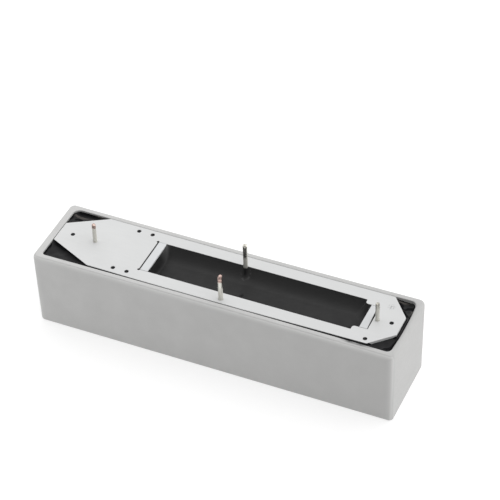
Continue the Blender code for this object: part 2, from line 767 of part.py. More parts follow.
def make_solder_joint(name, x):
    solder = make_material(name, (0.60, 0.60, 0.58), 0.35, metallic=1.0)
    joint = solder_solid(name, x, material=solder)
    reach = SOLDER_LENGTH
    cut(joint, level_cylinder("lead", x - reach, x + reach, LEAD_RADIUS + SOLDER_GAP, sides=PIN_SIDES))
    pin_low = COIL_AXIS_Z
    pin_high = COIL_AXIS_Z + CUT_REACH
    cut(joint, upright_cylinder("pin", x, 0, CONTACT_PIN_RADIUS + SOLDER_GAP, pin_low, pin_high, PIN_SIDES))
    return smooth(joint)


# Potting resin


def dish_solid():
    """What is missing from the resin in the window: a tray with a round foot all along its edge."""
    left = WINDING_LEFT + RESIN_LIP_WIDTH
    right = WINDOW_NECK_X - SEAT_GAP - RESIN_LIP_WIDTH
    half_x = (right - left) / 2
    half_y = WINDOW_HALF_WIDTH - SEAT_GAP - RESIN_LIP_WIDTH
    floor = COIL_AXIS_Z + WINDING_RADIUS + RESIN_OVER_WINDING
    loops = []
    for step in range(CORNER_STEPS + 1):
        angle = math.pi / 2 * step / CORNER_STEPS
        inset = RESIN_DISH_ROUND * (1 - math.sin(angle))
        height = floor + RESIN_DISH_ROUND * (1 - math.cos(angle))
        corner = (half_y - inset) / 2
        loops.append(rounded_rectangle(half_x - inset, half_y - inset, corner, height))
    loops.append(rounded_rectangle(half_x, half_y, half_y / 2, BOARD_TOP + CUT_REACH))
    return add_object("dish", loft(loops), location=((left + right) / 2, BOARD_PATTERN_Y, 0))


def make_potting_compound():
    """The resin fills the case round every inner piece, up to the board."""
    low = CASE_FLOOR + SEAT_GAP
    corner_level = CASE_HEIGHT - RESIN_CORNER_RECESS
    loops = [cavity_loop(z, SEAT_GAP) for z in (low, corner_level)]
    black = make_material("resin_black", (0.012, 0.012, 0.013), 0.2)
    resin = add_object("potting_compound", loft(loops), black)
    pocket_outline = offset_outline(board_outline(), SEAT_GAP)
    pocket = prism(pocket_outline, BOARD_UNDERSIDE - SEAT_GAP, BOARD_TOP + CUT_REACH)
    cut(resin, add_object("board_pocket", pocket))
    plug_half = WINDOW_HALF_WIDTH - SEAT_GAP
    plug_outline = [
        (WINDING_LEFT, BOARD_PATTERN_Y - plug_half),
        (WINDOW_NECK_X - SEAT_GAP, BOARD_PATTERN_Y - plug_half),
        (WINDOW_NECK_X - SEAT_GAP, BOARD_PATTERN_Y + plug_half),
        (WINDING_LEFT, BOARD_PATTERN_Y + plug_half),
    ]
    plug = prism(plug_outline, BOARD_UNDERSIDE - 2 * SEAT_GAP, BOARD_TOP - RESIN_LIP_RECESS)
    join(resin, add_object("window_plug", plug))
    cut(resin, dish_solid())
    cut_inner_spaces(resin)
    return smooth(resin)


def cut_inner_spaces(resin):
    """Room for each piece that the resin holds, one seat gap larger all round."""
    cut(resin, flange_room(LEFT_FLANGE_X, LEFT_TAB_HALF_WIDTH))
    cut(resin, flange_room(RIGHT_FLANGE_X, RIGHT_TAB_HALF_WIDTH))
    winding_room = WINDING_RADIUS + SEAT_GAP
    cut(resin, level_cylinder("winding_room", LEFT_FLANGE_X, RIGHT_FLANGE_X + SEAT_GAP, winding_room))
    cut(resin, level_cylinder("glass_room", GLASS_LEFT - SEAT_GAP, LEFT_FLANGE_X, BORE_RADIUS))
    for side, pin_x in ((-1, LEFT_PIN_X), (1, RIGHT_PIN_X)):
        lead_end = pin_x + side * (LEAD_OVERHANG + SEAT_GAP)
        start, stop = sorted((lead_end, pin_x - side * (SOLDER_LENGTH + 2 * SEAT_GAP)))
        cut(resin, level_cylinder("lead_room", start, stop, LEAD_RADIUS + SEAT_GAP, sides=PIN_SIDES))
        cut(resin, solder_solid("solder_room", pin_x, SEAT_GAP))
        room = CONTACT_PIN_RADIUS + SEAT_GAP
        cut(resin, upright_cylinder("pin_room", pin_x, 0, room, COIL_AXIS_Z, CASE_HEIGHT, PIN_SIDES))
    for x, y, direction in ((FRONT_PIN_X, FRONT_PIN_Y, -1), (REAR_PIN_X, REAR_PIN_Y, 1)):
        path = coil_pin_path(x, y, direction)
        room = [COIL_PIN_RADIUS + SEAT_GAP] * len(path)
        cut(resin, add_object("coil_pin_room", swept(path, room, PIN_SIDES)))
        side = math.copysign(1, y)
        foot_y, foot_z = foot_place(side)
        wrap_room = WRAP_RADIUS + COIL_WIRE_RADIUS + SEAT_GAP
        foot_end = x + direction * (COIL_FOOT_LENGTH + 2 * SEAT_GAP)
        wrap_start = foot_end - direction * (WRAP_TURNS * WRAP_PITCH + 4 * SEAT_GAP)
        start, stop = sorted((foot_end, wrap_start))
        cut(resin, level_cylinder("wrap_room", start, stop, wrap_room, foot_y, foot_z, PIN_SIDES))
        run_y, run_z = wire_run_place(side)
        start, stop = sorted((WINDING_LEFT if direction < 0 else WINDING_RIGHT, foot_end))
        wire_room = COIL_WIRE_RADIUS + SEAT_GAP
        cut(resin, level_cylinder("wire_room", start, stop, wire_room, run_y, run_z, WIRE_SIDES))


def flange_room(left, tab_half_width):
    """The space of one flange, with the seat gap all round and the tab's slot open above."""
    half = FLANGE_HALF_WIDTH + SEAT_GAP
    bottom = CASE_FLOOR
    top = BOARD_UNDERSIDE
    tab_low = BOARD_PATTERN_Y - tab_half_width - SEAT_GAP
    tab_high = BOARD_PATTERN_Y + tab_half_width + SEAT_GAP
    side_view = [
        (-half, bottom),
        (half, bottom),
        (half, top),
        (tab_high, top),
        (tab_high, BOARD_TOP + CUT_REACH),
        (tab_low, BOARD_TOP + CUT_REACH),
        (tab_low, top),
        (-half, top),
    ]
    ends = (left - SEAT_GAP, left + FLANGE_THICKNESS + SEAT_GAP)
    return add_object("flange_room", loft([[Vector((x, y, z)) for y, z in side_view] for x in ends]))


def main():
    clear_scene()
    make_case_shell()
    make_terminal_board()
    make_coil_bobbin()
    make_coil_winding()
    make_reed_glass()
    make_reed_lead("reed_lead_left", -1, LEFT_PIN_X)
    make_reed_lead("reed_lead_right", 1, RIGHT_PIN_X)
    make_reed_blade("reed_blade_left", -1)
    make_reed_blade("reed_blade_right", 1)
    make_contact_pin("contact_pin_left", LEFT_PIN_X, LEFT_PIN_HEIGHT)
    make_contact_pin("contact_pin_right", RIGHT_PIN_X, RIGHT_PIN_HEIGHT)
    make_coil_pin("coil_pin_front", FRONT_PIN_X, FRONT_PIN_Y, -1)
    make_coil_pin("coil_pin_rear", REAR_PIN_X, REAR_PIN_Y, 1)
    make_coil_wire("coil_wire_front", FRONT_PIN_X, FRONT_PIN_Y, -1)
    make_coil_wire("coil_wire_rear", REAR_PIN_X, REAR_PIN_Y, 1)
    make_solder_joint("solder_joint_left", LEFT_PIN_X)
    make_solder_joint("solder_joint_right", RIGHT_PIN_X)
    make_potting_compound()


main()
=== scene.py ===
"""Looks of the reed relay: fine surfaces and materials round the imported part, on a pale studio floor.

Sizes are in metres, in the part's own frame: +X along the case, +Z out of its open side.
"""

from math import atan2, ceil, copysign, cos, hypot, pi, radians, sin, tan

import bmesh
import bpy
import numpy as np
from mathutils import Matrix, Vector


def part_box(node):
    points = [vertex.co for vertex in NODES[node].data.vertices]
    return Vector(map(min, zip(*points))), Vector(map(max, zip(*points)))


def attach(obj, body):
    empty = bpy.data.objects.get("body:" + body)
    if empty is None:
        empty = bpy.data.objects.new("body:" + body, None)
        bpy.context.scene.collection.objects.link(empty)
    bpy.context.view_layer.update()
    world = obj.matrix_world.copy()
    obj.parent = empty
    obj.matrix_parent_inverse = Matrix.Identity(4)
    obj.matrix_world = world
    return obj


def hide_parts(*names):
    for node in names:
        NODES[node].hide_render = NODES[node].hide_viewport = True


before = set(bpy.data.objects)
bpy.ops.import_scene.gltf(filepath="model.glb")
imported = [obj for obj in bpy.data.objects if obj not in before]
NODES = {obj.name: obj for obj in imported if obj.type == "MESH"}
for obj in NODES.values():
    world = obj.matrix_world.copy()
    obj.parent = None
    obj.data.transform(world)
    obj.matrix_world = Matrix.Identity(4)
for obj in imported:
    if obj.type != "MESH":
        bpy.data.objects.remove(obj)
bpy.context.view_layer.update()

# Camera: the photograph's view, from the near right and above
CAMERA_PLACE = (0.116414, -0.236661, 0.252448)
CAMERA_FORWARD = (-0.32074, 0.67927, -0.66009)
CAMERA_UP = (-0.24926, 0.61181, 0.7507)
CAMERA_LENS = 152.481
CAMERA_SENSOR = 36.0

# Light from each way: an even part, what both sides, the right, back and top add to it, and the least
SKY_EVEN = 0.10
SKY_SIDES = 0.85
SKY_RIGHT = 0.25
SKY_BACK = 0.66
SKY_TOP = 1.25
SKY_LEAST = 0.12
FLOOR_RADIUS = 3.0
FLOOR_GLOW = 0.6
FLOOR_COLORS = ((0.44, 0.44, 0.44), (0.46, 0.46, 0.46))

# Case, the same profile as the part's
CASE_LENGTH = 0.0660
CASE_WIDTH = 0.0150
CASE_HEIGHT = 0.0148
CASE_SIDE_WALL = 0.0011
CASE_LEFT_WALL = 0.0014
CASE_RIGHT_WALL = 0.00095
CASE_FLOOR = 0.0012
CASE_DRAFT = 0.00016
CASE_SIDE_BOW = 0.00015
CASE_CORNER_RADII = (0.0009, 0.0009, 0.0009, 0.0007)
CASE_FOOT_RADIUS = 0.0003
CASE_RIM_RADIUS = 0.0004
CASE_RIM_DROP = 0.0009
CASE_RIM_INNER_RADIUS = 0.00012
CAVITY_RADII = (0.0012, 0.0013, 0.0007, 0.0010)
# The right wall's rim at its ends and in its middle: how round it is inside, how far it stands in
RIGHT_RIM_INNER_RADII = (0.0003, 0.00055)
RIGHT_RIM_IN = (0.00028, 0.00006)
RIGHT_RIM_BLEND = 0.7
# How far the painted edge light reaches from the rim and from the upright edges
RIM_GLOW = 0.0012
UPRIGHT_GLOW = 0.0016
UPRIGHT_GLOW_SHARE = 0.8
# Depths below the outside and below the rim's top, between which that tone starts and ends
GLOW_SIDE_DEPTHS = (0.0006, 0.0003)
GLOW_TOP_DEPTHS = (0.00015, 0.00002)

# Terminal board
BOARD_LOW, BOARD_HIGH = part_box("terminal_board")
BOARD_TOP = BOARD_HIGH.z
BOARD_UNDERSIDE = BOARD_LOW.z
BOARD_LEFT = BOARD_LOW.x
BOARD_RIGHT = BOARD_HIGH.x
BOARD_NEAR_Y = BOARD_LOW.y
BOARD_FAR_Y = BOARD_HIGH.y
BOARD_MIDDLE_Y = (BOARD_NEAR_Y + BOARD_FAR_Y) / 2
BOARD_HALF_WIDTH = (BOARD_FAR_Y - BOARD_NEAR_Y) / 2
BOARD_FAR_LINE = 0.00002
# Where the near edge is drawn in, and how far, to the right and at the left
BOARD_DRAWN_FROM = 0.0050
BOARD_DRAWN_IN = 0.00024
BOARD_LEFT_DRAWN_FROM = 0.0130
BOARD_LEFT_DRAWN_OVER = 0.0100
BOARD_DRAWN_IN_LEFT = 0.00012
BOARD_TIP_WIDTH = 0.00435
BOARD_NEAR_LEFT_CHAMFER = 0.0083
BOARD_FAR_LEFT_CHAMFER = 0.0068
BOARD_NEAR_RIGHT_CHAMFER = 0.0038
BOARD_FAR_RIGHT_CHAMFER = 0.0034
BOARD_FAR_TIP_RISE = 0.00022
BOARD_CORNER_RADIUS = 0.00012
BOARD_EDGE_ROUND = 0.00004
PATTERN_Y = 0.00018
BOARD_HOLE_RADIUS = 0.00038
PAIR_HOLE_EDGE = 0.00104
PAIR_HOLE_PITCH = 0.00257
PAIR_HOLE_TO_WINDOW = 0.00165
LEFT_TIP_HOLE_EDGE = 0.00248
RIGHT_TIP_HOLE_EDGE = 0.00175
SIDE_HOLE_TIP_EDGE = 0.00442
WINDOW_LEFT = BOARD_LEFT + 0.01695
WINDOW_RIGHT = BOARD_RIGHT - 0.00485
WINDOW_NECK_X = WINDOW_RIGHT - 0.0026
WINDOW_HALF_WIDTH = BOARD_HALF_WIDTH - 0.0023
NECK_HALF_WIDTH = WINDOW_HALF_WIDTH - 0.00095
NECK_ROUND = 0.00045
NECK_INNER_ROUND = 0.0001
RELIEF_RADIUS = 0.00022
RELIEF_STEPS = 18

# Bobbin flanges, whose tabs are the two strips in the window
LEFT_FLANGE = (WINDOW_LEFT + 0.00022, WINDOW_LEFT + 0.00165)
RIGHT_FLANGE = (WINDOW_RIGHT - 0.0015, WINDOW_RIGHT - 0.00042)
RIGHT_TAB_SPREAD = 0.00030
LEFT_TAB_HALF_WIDTH = WINDOW_HALF_WIDTH - 0.00005
RIGHT_TAB_HALF_WIDTH = NECK_HALF_WIDTH - 0.00005
FLANGE_HALF_WIDTH = 0.0054
FLANGE_CHAMFER = 0.0010
FLANGE_EDGE_ROUND = 0.00008
BORE_RADIUS = 0.0026
TUBE_RADIUS = 0.0032
WINDING_RADIUS = 0.0042
SEAT_GAP = 0.0003

# Pins
COIL_AXIS_Z = (CASE_FLOOR + BOARD_UNDERSIDE) / 2
CONTACT_PIN_RADIUS = 0.00035
LEFT_PIN_X = BOARD_LEFT + 0.0069
RIGHT_PIN_X = BOARD_RIGHT - 0.00415
LEFT_PIN_TOP = BOARD_TOP + 0.0039
RIGHT_PIN_TOP = BOARD_TOP + 0.00375
CONTACT_PIN_FOOT = COIL_AXIS_Z + 0.00065
COIL_PIN_RADIUS = 0.0004
COIL_PIN_TOP = BOARD_TOP + 0.0052
FRONT_PIN = (0.0014, BOARD_NEAR_Y + 0.0010)
REAR_PIN = (0.0021, PATTERN_Y + WINDOW_HALF_WIDTH - 0.00048)
COIL_FOOT_TURN = radians(42)
COIL_FOOT_LENGTH = 0.0060
COIL_WIRE_RADIUS = 0.0001
WRAP_GAP = 0.00015
FOOT_DISTANCE = WINDING_RADIUS + SEAT_GAP + COIL_PIN_RADIUS + WRAP_GAP + 2 * COIL_WIRE_RADIUS
BEND_PULL = 0.55
PIN_SINK = 0.00001
TIP_LENGTH = 0.0009
TIP_BURR = 0.00003
# A cut end: share of the wire's radius and drop below its top, for each ring
TIP_RINGS = ((1.0, 0.00030), (0.97, 0.00014), (0.88, 0.00006), (0.6, 0.00003), (0.25, 0.00002))
# How each wire was cut: how far its end slants, and the way it slants, as a turn in radians
LEFT_CUT = (0.00030, 2.4)
RIGHT_CUT = (0.00006, 0.6)
FRONT_CUT = (0.00035, 0.9)
REAR_CUT = (0.00012, 2.0)
# Each wire's cut tip: its colour, how far it reaches, and how far resin stains the wire above the board
LEFT_LOOK = ((0.60, 0.46, 0.41), 0.0006, -0.0005)
RIGHT_LOOK = ((0.66, 0.64, 0.58), 0.00008, -0.0005)
FRONT_LOOK = ((0.66, 0.48, 0.43), 0.0012, -0.0005)
REAR_LOOK = ((0.72, 0.70, 0.64), 0.00015, 0.0004)
# Heights over the board between which a wire gets bright, and its stain's and cut tip's blends
WIRE_DULL_TO = (0.0021, 0.0028)
WIRE_STAIN_BLEND = (-0.0003, 0.0001)
TIP_BLEND = 0.0002
TIP_RAGGED = 0.0007

# Resin in the window; waves are given as height, length and seed
WAVE_COUNT = 7
RESIN_DISH_DEPTH = 0.00225
RESIN_DISH_SPREAD = 0.0024
RESIN_DISH_POWER = 2.3
RESIN_STRIP_SPREAD = 0.0008
RESIN_STRIP_POWER = 2.5
RESIN_STRIP_LEAST = 0.12
RESIN_OPEN_REACH = 0.0012
RESIN_WAVES = ((0.00003, 0.0055, 3), (0.000006, 0.0014, 8))
RESIN_RIDGE_Y = -0.0017
RESIN_RIDGE_WAVES = ((0.00012, 0.009, 4),)
RESIN_RIDGE_WIDTH = 0.0006
RESIN_RIDGE_HEIGHT = 0.00013
MENISCUS_HEIGHT = 0.00020
MENISCUS_REACH = 0.00018
MENISCUS_ROOM = 0.0003
RESIN_PIT = (0.0032, -0.00075)
RESIN_PIT_DEPTH = 0.00030
RESIN_PIT_WIDTH = 0.00022
RESIN_PIT_LENGTHENED = 1.3
RESIN_EDGE_DROP = 0.00003
RESIN_PLUG_BOTTOM = 0.0122
RESIN_LEAST = 0.00012
RESIN_STEP = 0.00013

# Resin between the board and the case's wall; a lower place starts at an x and so far off the middle line
CORNER_LEVEL = CASE_HEIGHT - 0.0011
CORNER_WAVES = ((0.00010, 0.0022, 5), (0.00002, 0.0009, 11))
BORDER_STATION = 0.0002
BORDER_ROWS = 18
FAN_CHAMFERS = (0.0072, BOARD_FAR_RIGHT_CHAMFER)
BOARD_CLIMB = 0.00035
WALL_CLIMB = 0.00030
WALL_DROP = 0.00035
NEAR_RIGHT_PLACE = (0.0279, 0.0021)
NEAR_RIGHT_BLEND = (0.0003, 0.0004)
NEAR_RIGHT_DROP = 0.00045
FAR_RIGHT_PLACE = (0.0270, 0.0030)
FAR_RIGHT_BLEND = 0.0005
FAR_RIGHT_DROP = 0.00025
RIGHT_END_BLEND = 0.0002
RIGHT_END_DROP = 0.0003
# A small hole's filling: share of the hole's radius and drop below the board's top, for each ring
PLUG_RINGS = ((1.0, 0.00005), (0.9, 0.00010), (0.7, 0.00016), (0.4, 0.00020), (0.12, 0.00021))
PLUG_LEAST = 0.8
PLUG_SPREAD = 0.4

# Facets
CORNER_STEPS = 10
ARC_STEPS = 8
BOW_STEPS = 16
EDGE_STEPS = 2
ROUND_SIDES = 40
WIRE_SIDES = 32
HOLE_SIDES = 28
STRAIGHT_STEPS = 10
BEND_STEPS = 16
# Shares of a coil pin's straight length at which it has a ring
COIL_PIN_RISES = (0.3, 0.6, 1.0)
# Angles from which an edge is sharp: on the case, on flat plates, on wires and resin
CASE_SHARP_DEGREES = 35
PLATE_SHARP_DEGREES = 12
SOFT_SHARP_DEGREES = 50

# Colours, and tones as shares of a colour
CASE_COLOR = (0.525, 0.524, 0.518)
BOARD_COLOR = (0.62, 0.625, 0.625)
BOBBIN_COLOR = (0.65, 0.66, 0.67)
SMEAR_COLOR = (0.05, 0.05, 0.05)
SMEAR_PLACE = (0.0262, -0.00640, CASE_HEIGHT)
SMEAR_WEIGHTS = (0.8, 4.0, 1.0)
SMEAR_REACH = (0.0011, 0.0026)
PLASTIC_TONES = (0.955, 1.03)
# Painted shade: how dark the plastic gets at the right end
PLASTIC_RIGHT_SHADE = 0.74
# Painted light along the case's rim and upright edges
EDGE_LIGHT_TONE = 1.36
BOARD_TONES = (0.965, 1.02)
# Painted shade: how dark the board gets at the right end
BOARD_RIGHT_SHADE = 0.90
BOARD_MARK_TONE = 0.40
BOARD_MARK = (0.0283, 0.00375, BOARD_TOP)
BOARD_MARK_REACH = (0.0003, 0.0008)
# How much of the painted shade towards the right end is mixed in there
RIGHT_SHADE_SHARE = 0.5
RESIN_DARK = (0.018, 0.018, 0.0185)
RESIN_LIGHT = (0.022, 0.022, 0.022)
# Painted light over the window's far side, painted highlight beside the left strip
RESIN_FAR_SIDE_LIGHT = (0.037, 0.037, 0.037)
RESIN_STRIP_HIGHLIGHT = (0.10, 0.10, 0.10)
RESIN_PIN_RING = (0.07, 0.07, 0.07)
# Painted shade in the pit and in the corners beside the board
RESIN_PIT_SHADE = (0.003, 0.003, 0.003)
RESIN_CORNER_SHADE = (0.008, 0.008, 0.009)
RESIN_STREAK = (0.085, 0.076, 0.070)
WIRE_DARK = (0.56, 0.55, 0.50)
WIRE_LIGHT = (0.74, 0.73, 0.68)
WIRE_STAIN = (0.035, 0.035, 0.035)

# Where the resin's tones blend: painted shade outside the window, painted light over its far side and beside
# the left strip, round the rear pin, painted shade in the pit, and lighter streaks on the far corners
CORNER_BLEND = (0.0003, 0.0010)
FAR_SIDE_BLEND = (0.0, 0.0034)
STRIP_BLEND_X = (0.0001, 0.0008)
STRIP_BLEND_Y = (0.0014, 0.0036)
WINDOW_END_BLEND = 0.0005
PIN_RING_STARTS = (0.0006, 0.0008)
PIN_RING_ENDS = (0.0009, 0.0011)
PIT_BLEND = (0.00018, 0.00034)
FAR_STREAK_BLEND = (0.0038, 0.0046)


def set_of(shader, **values):
    """Set a shader's own sockets by name, with blanks written as underscores."""
    for name, value in values.items():
        shader.inputs[name.replace("_", " ")].default_value = value


def eased_in(value, start, reach):
    """0 before a start, 1 at a reach beyond it, and straight between the two."""
    return np.clip((value - start) / reach, 0, 1)


# Meshes


def placed(name, data):
    """A new object in the scene."""
    thing = bpy.data.objects.new(name, data)
    bpy.context.scene.collection.objects.link(thing)
    return thing


def mesh_of(name, builder):
    """Turn a bmesh into a mesh, and let go of the bmesh."""
    mesh = bpy.data.meshes.new(name)
    builder.to_mesh(mesh)
    builder.free()
    return mesh


def finished(name, builder, material, sharp_degrees):
    """Turn a bmesh into a smooth-shaded object whose flat faces stay flat."""
    mesh = mesh_of(name, builder)
    piece = placed(name, mesh)
    mesh.materials.append(material)
    mesh.shade_smooth()
    mesh.set_sharp_from_angle(angle=radians(sharp_degrees))
    even = piece.modifiers.new("even_normals", "WEIGHTED_NORMAL")
    even.keep_sharp = True
    return piece


def merged(builders):
    """One bmesh with each builder's closed shell in it, every shell facing out."""
    whole = bmesh.new()
    for builder in builders:
        bmesh.ops.recalc_face_normals(builder, faces=builder.faces)
        mesh = mesh_of("shell", builder)
        whole.from_mesh(mesh)
        bpy.data.meshes.remove(mesh)
    return whole


def edges_of(outline):
    """Each point of a closed outline with the one after it."""
    return zip(outline, outline[1:] + outline[:1])


def skin(builder, pairs):
    """Join the two rings of each pair by a band of faces."""
    for first, second in pairs:
        for (a, b), (c, d) in zip(edges_of(first), edges_of(second)):
            builder.faces.new((a, b, d, c))


def loft(loops, closed=False):
    """Skin a row of loops that have the same number of points, and cap both ends unless it closes."""
    builder = bmesh.new()
    rings = [[builder.verts.new(point) for point in loop] for loop in loops]
    pairs = list(zip(rings, rings[1:]))
    if closed:
        pairs.append((rings[-1], rings[0]))
    skin(builder, pairs)
    if not closed:
        builder.faces.new(list(reversed(rings[0])))
        builder.faces.new(rings[-1])
    return builder


def circle(x, y, radius, sides):
    turns = [2 * pi * side / sides for side in range(sides)]
    return [(x + radius * cos(turn), y + radius * sin(turn)) for turn in turns]


def level_ring(x, y, radius, z, sides):
    return [Vector((a, b, z)) for a, b in circle(x, y, radius, sides)]


def rounded(outline, radii, steps=6):
    """Round each corner of an outline by its own radius."""
    points = []
    count = len(outline)
    for index, radius in enumerate(radii):
        corner = Vector(outline[index])
        back = (Vector(outline[index - 1]) - corner).normalized()
        onward = (Vector(outline[(index + 1) % count]) - corner).normalized()
        if radius <= 0:
            points.append(tuple(corner))
            continue
        half = back.angle(onward) / 2
        centre = corner + (back + onward).normalized() * radius / sin(half)
        ends = [corner + way * radius / tan(half) - centre for way in (back, onward)]
        first, last = (atan2(end.y, end.x) for end in ends)
        sweep = (last - first + pi) % (2 * pi) - pi
        for step in range(steps + 1):
            turn = first + sweep * step / steps
            points.append((centre.x + radius * cos(turn), centre.y + radius * sin(turn)))
    return points


def offset_outline(outline, distance):
    """Move each edge of a counter-clockwise outline outwards, and meet the edges again."""
    lines = []
    for start, end in edges_of([Vector(point) for point in outline]):
        along = (end - start).normalized()
        lines.append((start + Vector((along.y, -along.x)) * distance, along))
    moved = []
    for (point_a, way_a), (point_b, way_b) in zip(lines[-1:] + lines, lines):
        across = way_a.x * way_b.y - way_a.y * way_b.x
        if abs(across) < 1e-6:
            moved.append(tuple(point_b))
            continue
        apart = point_b - point_a
        share = (apart.x * way_b.y - apart.y * way_b.x) / across
        moved.append(tuple(point_a + way_a * share))
    return moved


def plate(outer, holes, low, high, edge_round):
    """A flat plate with holes, its edges rounded on both faces."""
    builder = bmesh.new()
    levels = []
    for step in range(EDGE_STEPS + 1):
        turn = pi / 2 * step / EDGE_STEPS
        levels.append((low + edge_round * (1 - sin(turn)), edge_round * (1 - cos(turn))))
    levels = list(reversed(levels)) + [(low + high - z, inset) for z, inset in levels]
    rims = ([], [])
    for number, outline in enumerate([outer] + holes):
        way = -1 if number == 0 else 1
        rings = []
        for z, inset in levels:
            loop = offset_outline(outline, way * inset) if inset else outline
            rings.append([builder.verts.new((x, y, z)) for x, y in loop])
        skin(builder, zip(rings, rings[1:]))
        for rim, ring in zip(rims, (rings[0], rings[-1])):
            rim.extend(builder.edges.get(pair) for pair in edges_of(ring))
    for rim in rims:
        bmesh.ops.triangle_fill(builder, use_beauty=True, use_dissolve=False, edges=rim)
    return builder


# Height fields, for the surface of the resin


def inside(x, y, outline):
    """True where points lie within a closed outline."""
    result = np.zeros(x.shape, dtype=bool)
    for (ax, ay), (bx, by) in edges_of(outline):
        if ay == by:
            continue
        crosses = (ay > y) != (by > y)
        result ^= crosses & (x < (bx - ax) * (y - ay) / (by - ay) + ax)
    return result


def nearest(x, y, outlines):
    """The nearest place on any of the outlines, and how far off it is."""
    best = np.full(x.shape, 1.0)
    near_x = x.copy()
    near_y = y.copy()
    for outline in outlines:
        for (ax, ay), (bx, by) in edges_of(outline):
            length = (bx - ax) ** 2 + (by - ay) ** 2
            if length < 1e-18:
                continue
            share = np.clip(((x - ax) * (bx - ax) + (y - ay) * (by - ay)) / length, 0, 1)
            here_x = ax + share * (bx - ax)
            here_y = ay + share * (by - ay)
            gap = np.hypot(x - here_x, y - here_y)
            closer = gap < best
            best = np.where(closer, gap, best)
            near_x = np.where(closer, here_x, near_x)
            near_y = np.where(closer, here_y, near_y)
    return near_x, near_y, best


def grid_lines(stops, step):
    """Lines at every stop, and between them no further apart than a step."""
    lines = [stops[0]]
    for low, high in zip(stops, stops[1:]):
        count = max(1, ceil((high - low) / step - 1e-6))
        lines.extend(low + (high - low) * index / count for index in range(1, count + 1))
    return np.array(lines)


def field_solid(x_lines, y_lines, outer, holes, height, bottom):
    """A solid on a flat bottom whose top follows a height, bounded by outlines."""
    grid_x, grid_y = np.meshgrid(x_lines, y_lines, indexing="ij")
    mid_x, mid_y = np.meshgrid(
        (x_lines[1:] + x_lines[:-1]) / 2, (y_lines[1:] + y_lines[:-1]) / 2, indexing="ij"
    )
    kept = inside(mid_x, mid_y, outer)
    for hole in holes:
        kept &= ~inside(mid_x, mid_y, hole)
    padded = np.pad(kept, 1)
    around = padded[1:, 1:].astype(int) + padded[:-1, 1:] + padded[1:, :-1] + padded[:-1, :-1]
    edge = (around > 0) & (around < 4)
    snap_x, snap_y, _ = nearest(grid_x[edge], grid_y[edge], [outer] + holes)
    grid_x[edge] = snap_x
    grid_y[edge] = snap_y
    top = height(grid_x, grid_y)
    builder = bmesh.new()
    uppers = {}
    lowers = {}
    for i, j in zip(*np.nonzero(around)):
        uppers[i, j] = builder.verts.new((grid_x[i, j], grid_y[i, j], top[i, j]))
        lowers[i, j] = builder.verts.new((grid_x[i, j], grid_y[i, j], bottom))
    for i, j in zip(*np.nonzero(kept)):
        corners = [(i, j), (i + 1, j), (i + 1, j + 1), (i, j + 1)]
        builder.faces.new([uppers[corner] for corner in corners])
        builder.faces.new([lowers[corner] for corner in reversed(corners)])
        neighbours = (padded[i + 1, j], padded[i + 2, j + 1], padded[i + 1, j + 2], padded[i, j + 1])
        for side, taken in enumerate(neighbours):
            if taken:
                continue
            first = corners[side]
            second = corners[(side + 1) % 4]
            builder.faces.new((lowers[first], lowers[second], uppers[second], uppers[first]))
    bmesh.ops.dissolve_degenerate(builder, dist=1e-7, edges=builder.edges)
    return builder


def waves(x, y, size, seed):
    """Gentle unevenness between about -1 and 1."""
    random = np.random.default_rng(seed)
    total = np.zeros(np.shape(x))
    for _ in range(WAVE_COUNT):
        heading = random.uniform(0, pi)
        length = size * random.uniform(0.7, 1.8)
        shift = random.uniform(0, 2 * pi)
        along = x * cos(heading) + y * sin(heading)
        total += np.sin(2 * pi * along / length + shift) / (WAVE_COUNT / 2)
    return total


def uneven(x, y, parts):
    """The sum of several waves, each with its height, length and seed."""
    return sum(height * waves(x, y, length, seed) for height, length, seed in parts)


# Case


def rounded_rectangle(half_x, half_y, radii, z):
    points = []
    for corner, radius in enumerate(radii):
        sign_x = 1 if corner in (0, 3) else -1
        sign_y = 1 if corner in (0, 1) else -1
        for step in range(CORNER_STEPS + 1):
            angle = pi / 2 * (corner + step / CORNER_STEPS)
            x = sign_x * (half_x - radius) + radius * cos(angle)
            y = sign_y * (half_y - radius) + radius * sin(angle)
            points.append(Vector((x, y, z)))
    return points


def case_half_sizes(z, inset=0.0):
    lean = CASE_DRAFT * (1 - z / CASE_HEIGHT) + inset
    return CASE_LENGTH / 2 - lean, CASE_WIDTH / 2 - lean


def bow_at(x, z):
    """How far a long wall is drawn in."""
    along = 2 * x / CASE_LENGTH
    return CASE_SIDE_BOW * z / CASE_HEIGHT * (1 - along * along)


def wall_loop(half_length, half_width, radii, z, middle_x=0.0):
    """One loop of a wall, its long sides drawn in towards their middles, most at the rim."""
    corners = rounded_rectangle(half_length, half_width, radii, z)
    per_corner = CORNER_STEPS + 1
    points = []
    for corner in range(4):
        arc = corners[corner * per_corner : (corner + 1) * per_corner]
        points.extend(arc)
        if corner != 1:
            after = corners[(corner + 1) % 4 * per_corner]
            points.extend(arc[-1].lerp(after, step / BOW_STEPS) for step in range(1, BOW_STEPS))
    for point in points:
        point.x += middle_x
        point.y -= copysign(bow_at(point.x, z), point.y)
    return points


def outer_loop(z, inset):
    half_length, half_width = case_half_sizes(z, inset)
    return wall_loop(half_length, half_width, [radius - inset / 2 for radius in CASE_CORNER_RADII], z)


def cavity_loop(z):
    half_length, half_width = case_half_sizes(z)
    half_length -= (CASE_LEFT_WALL + CASE_RIGHT_WALL) / 2
    middle_x = (CASE_LEFT_WALL - CASE_RIGHT_WALL) / 2
    return wall_loop(half_length, half_width - CASE_SIDE_WALL, CAVITY_RADII, z, middle_x)


def between(ends, share):
    return ends[0] + (ends[1] - ends[0]) * share


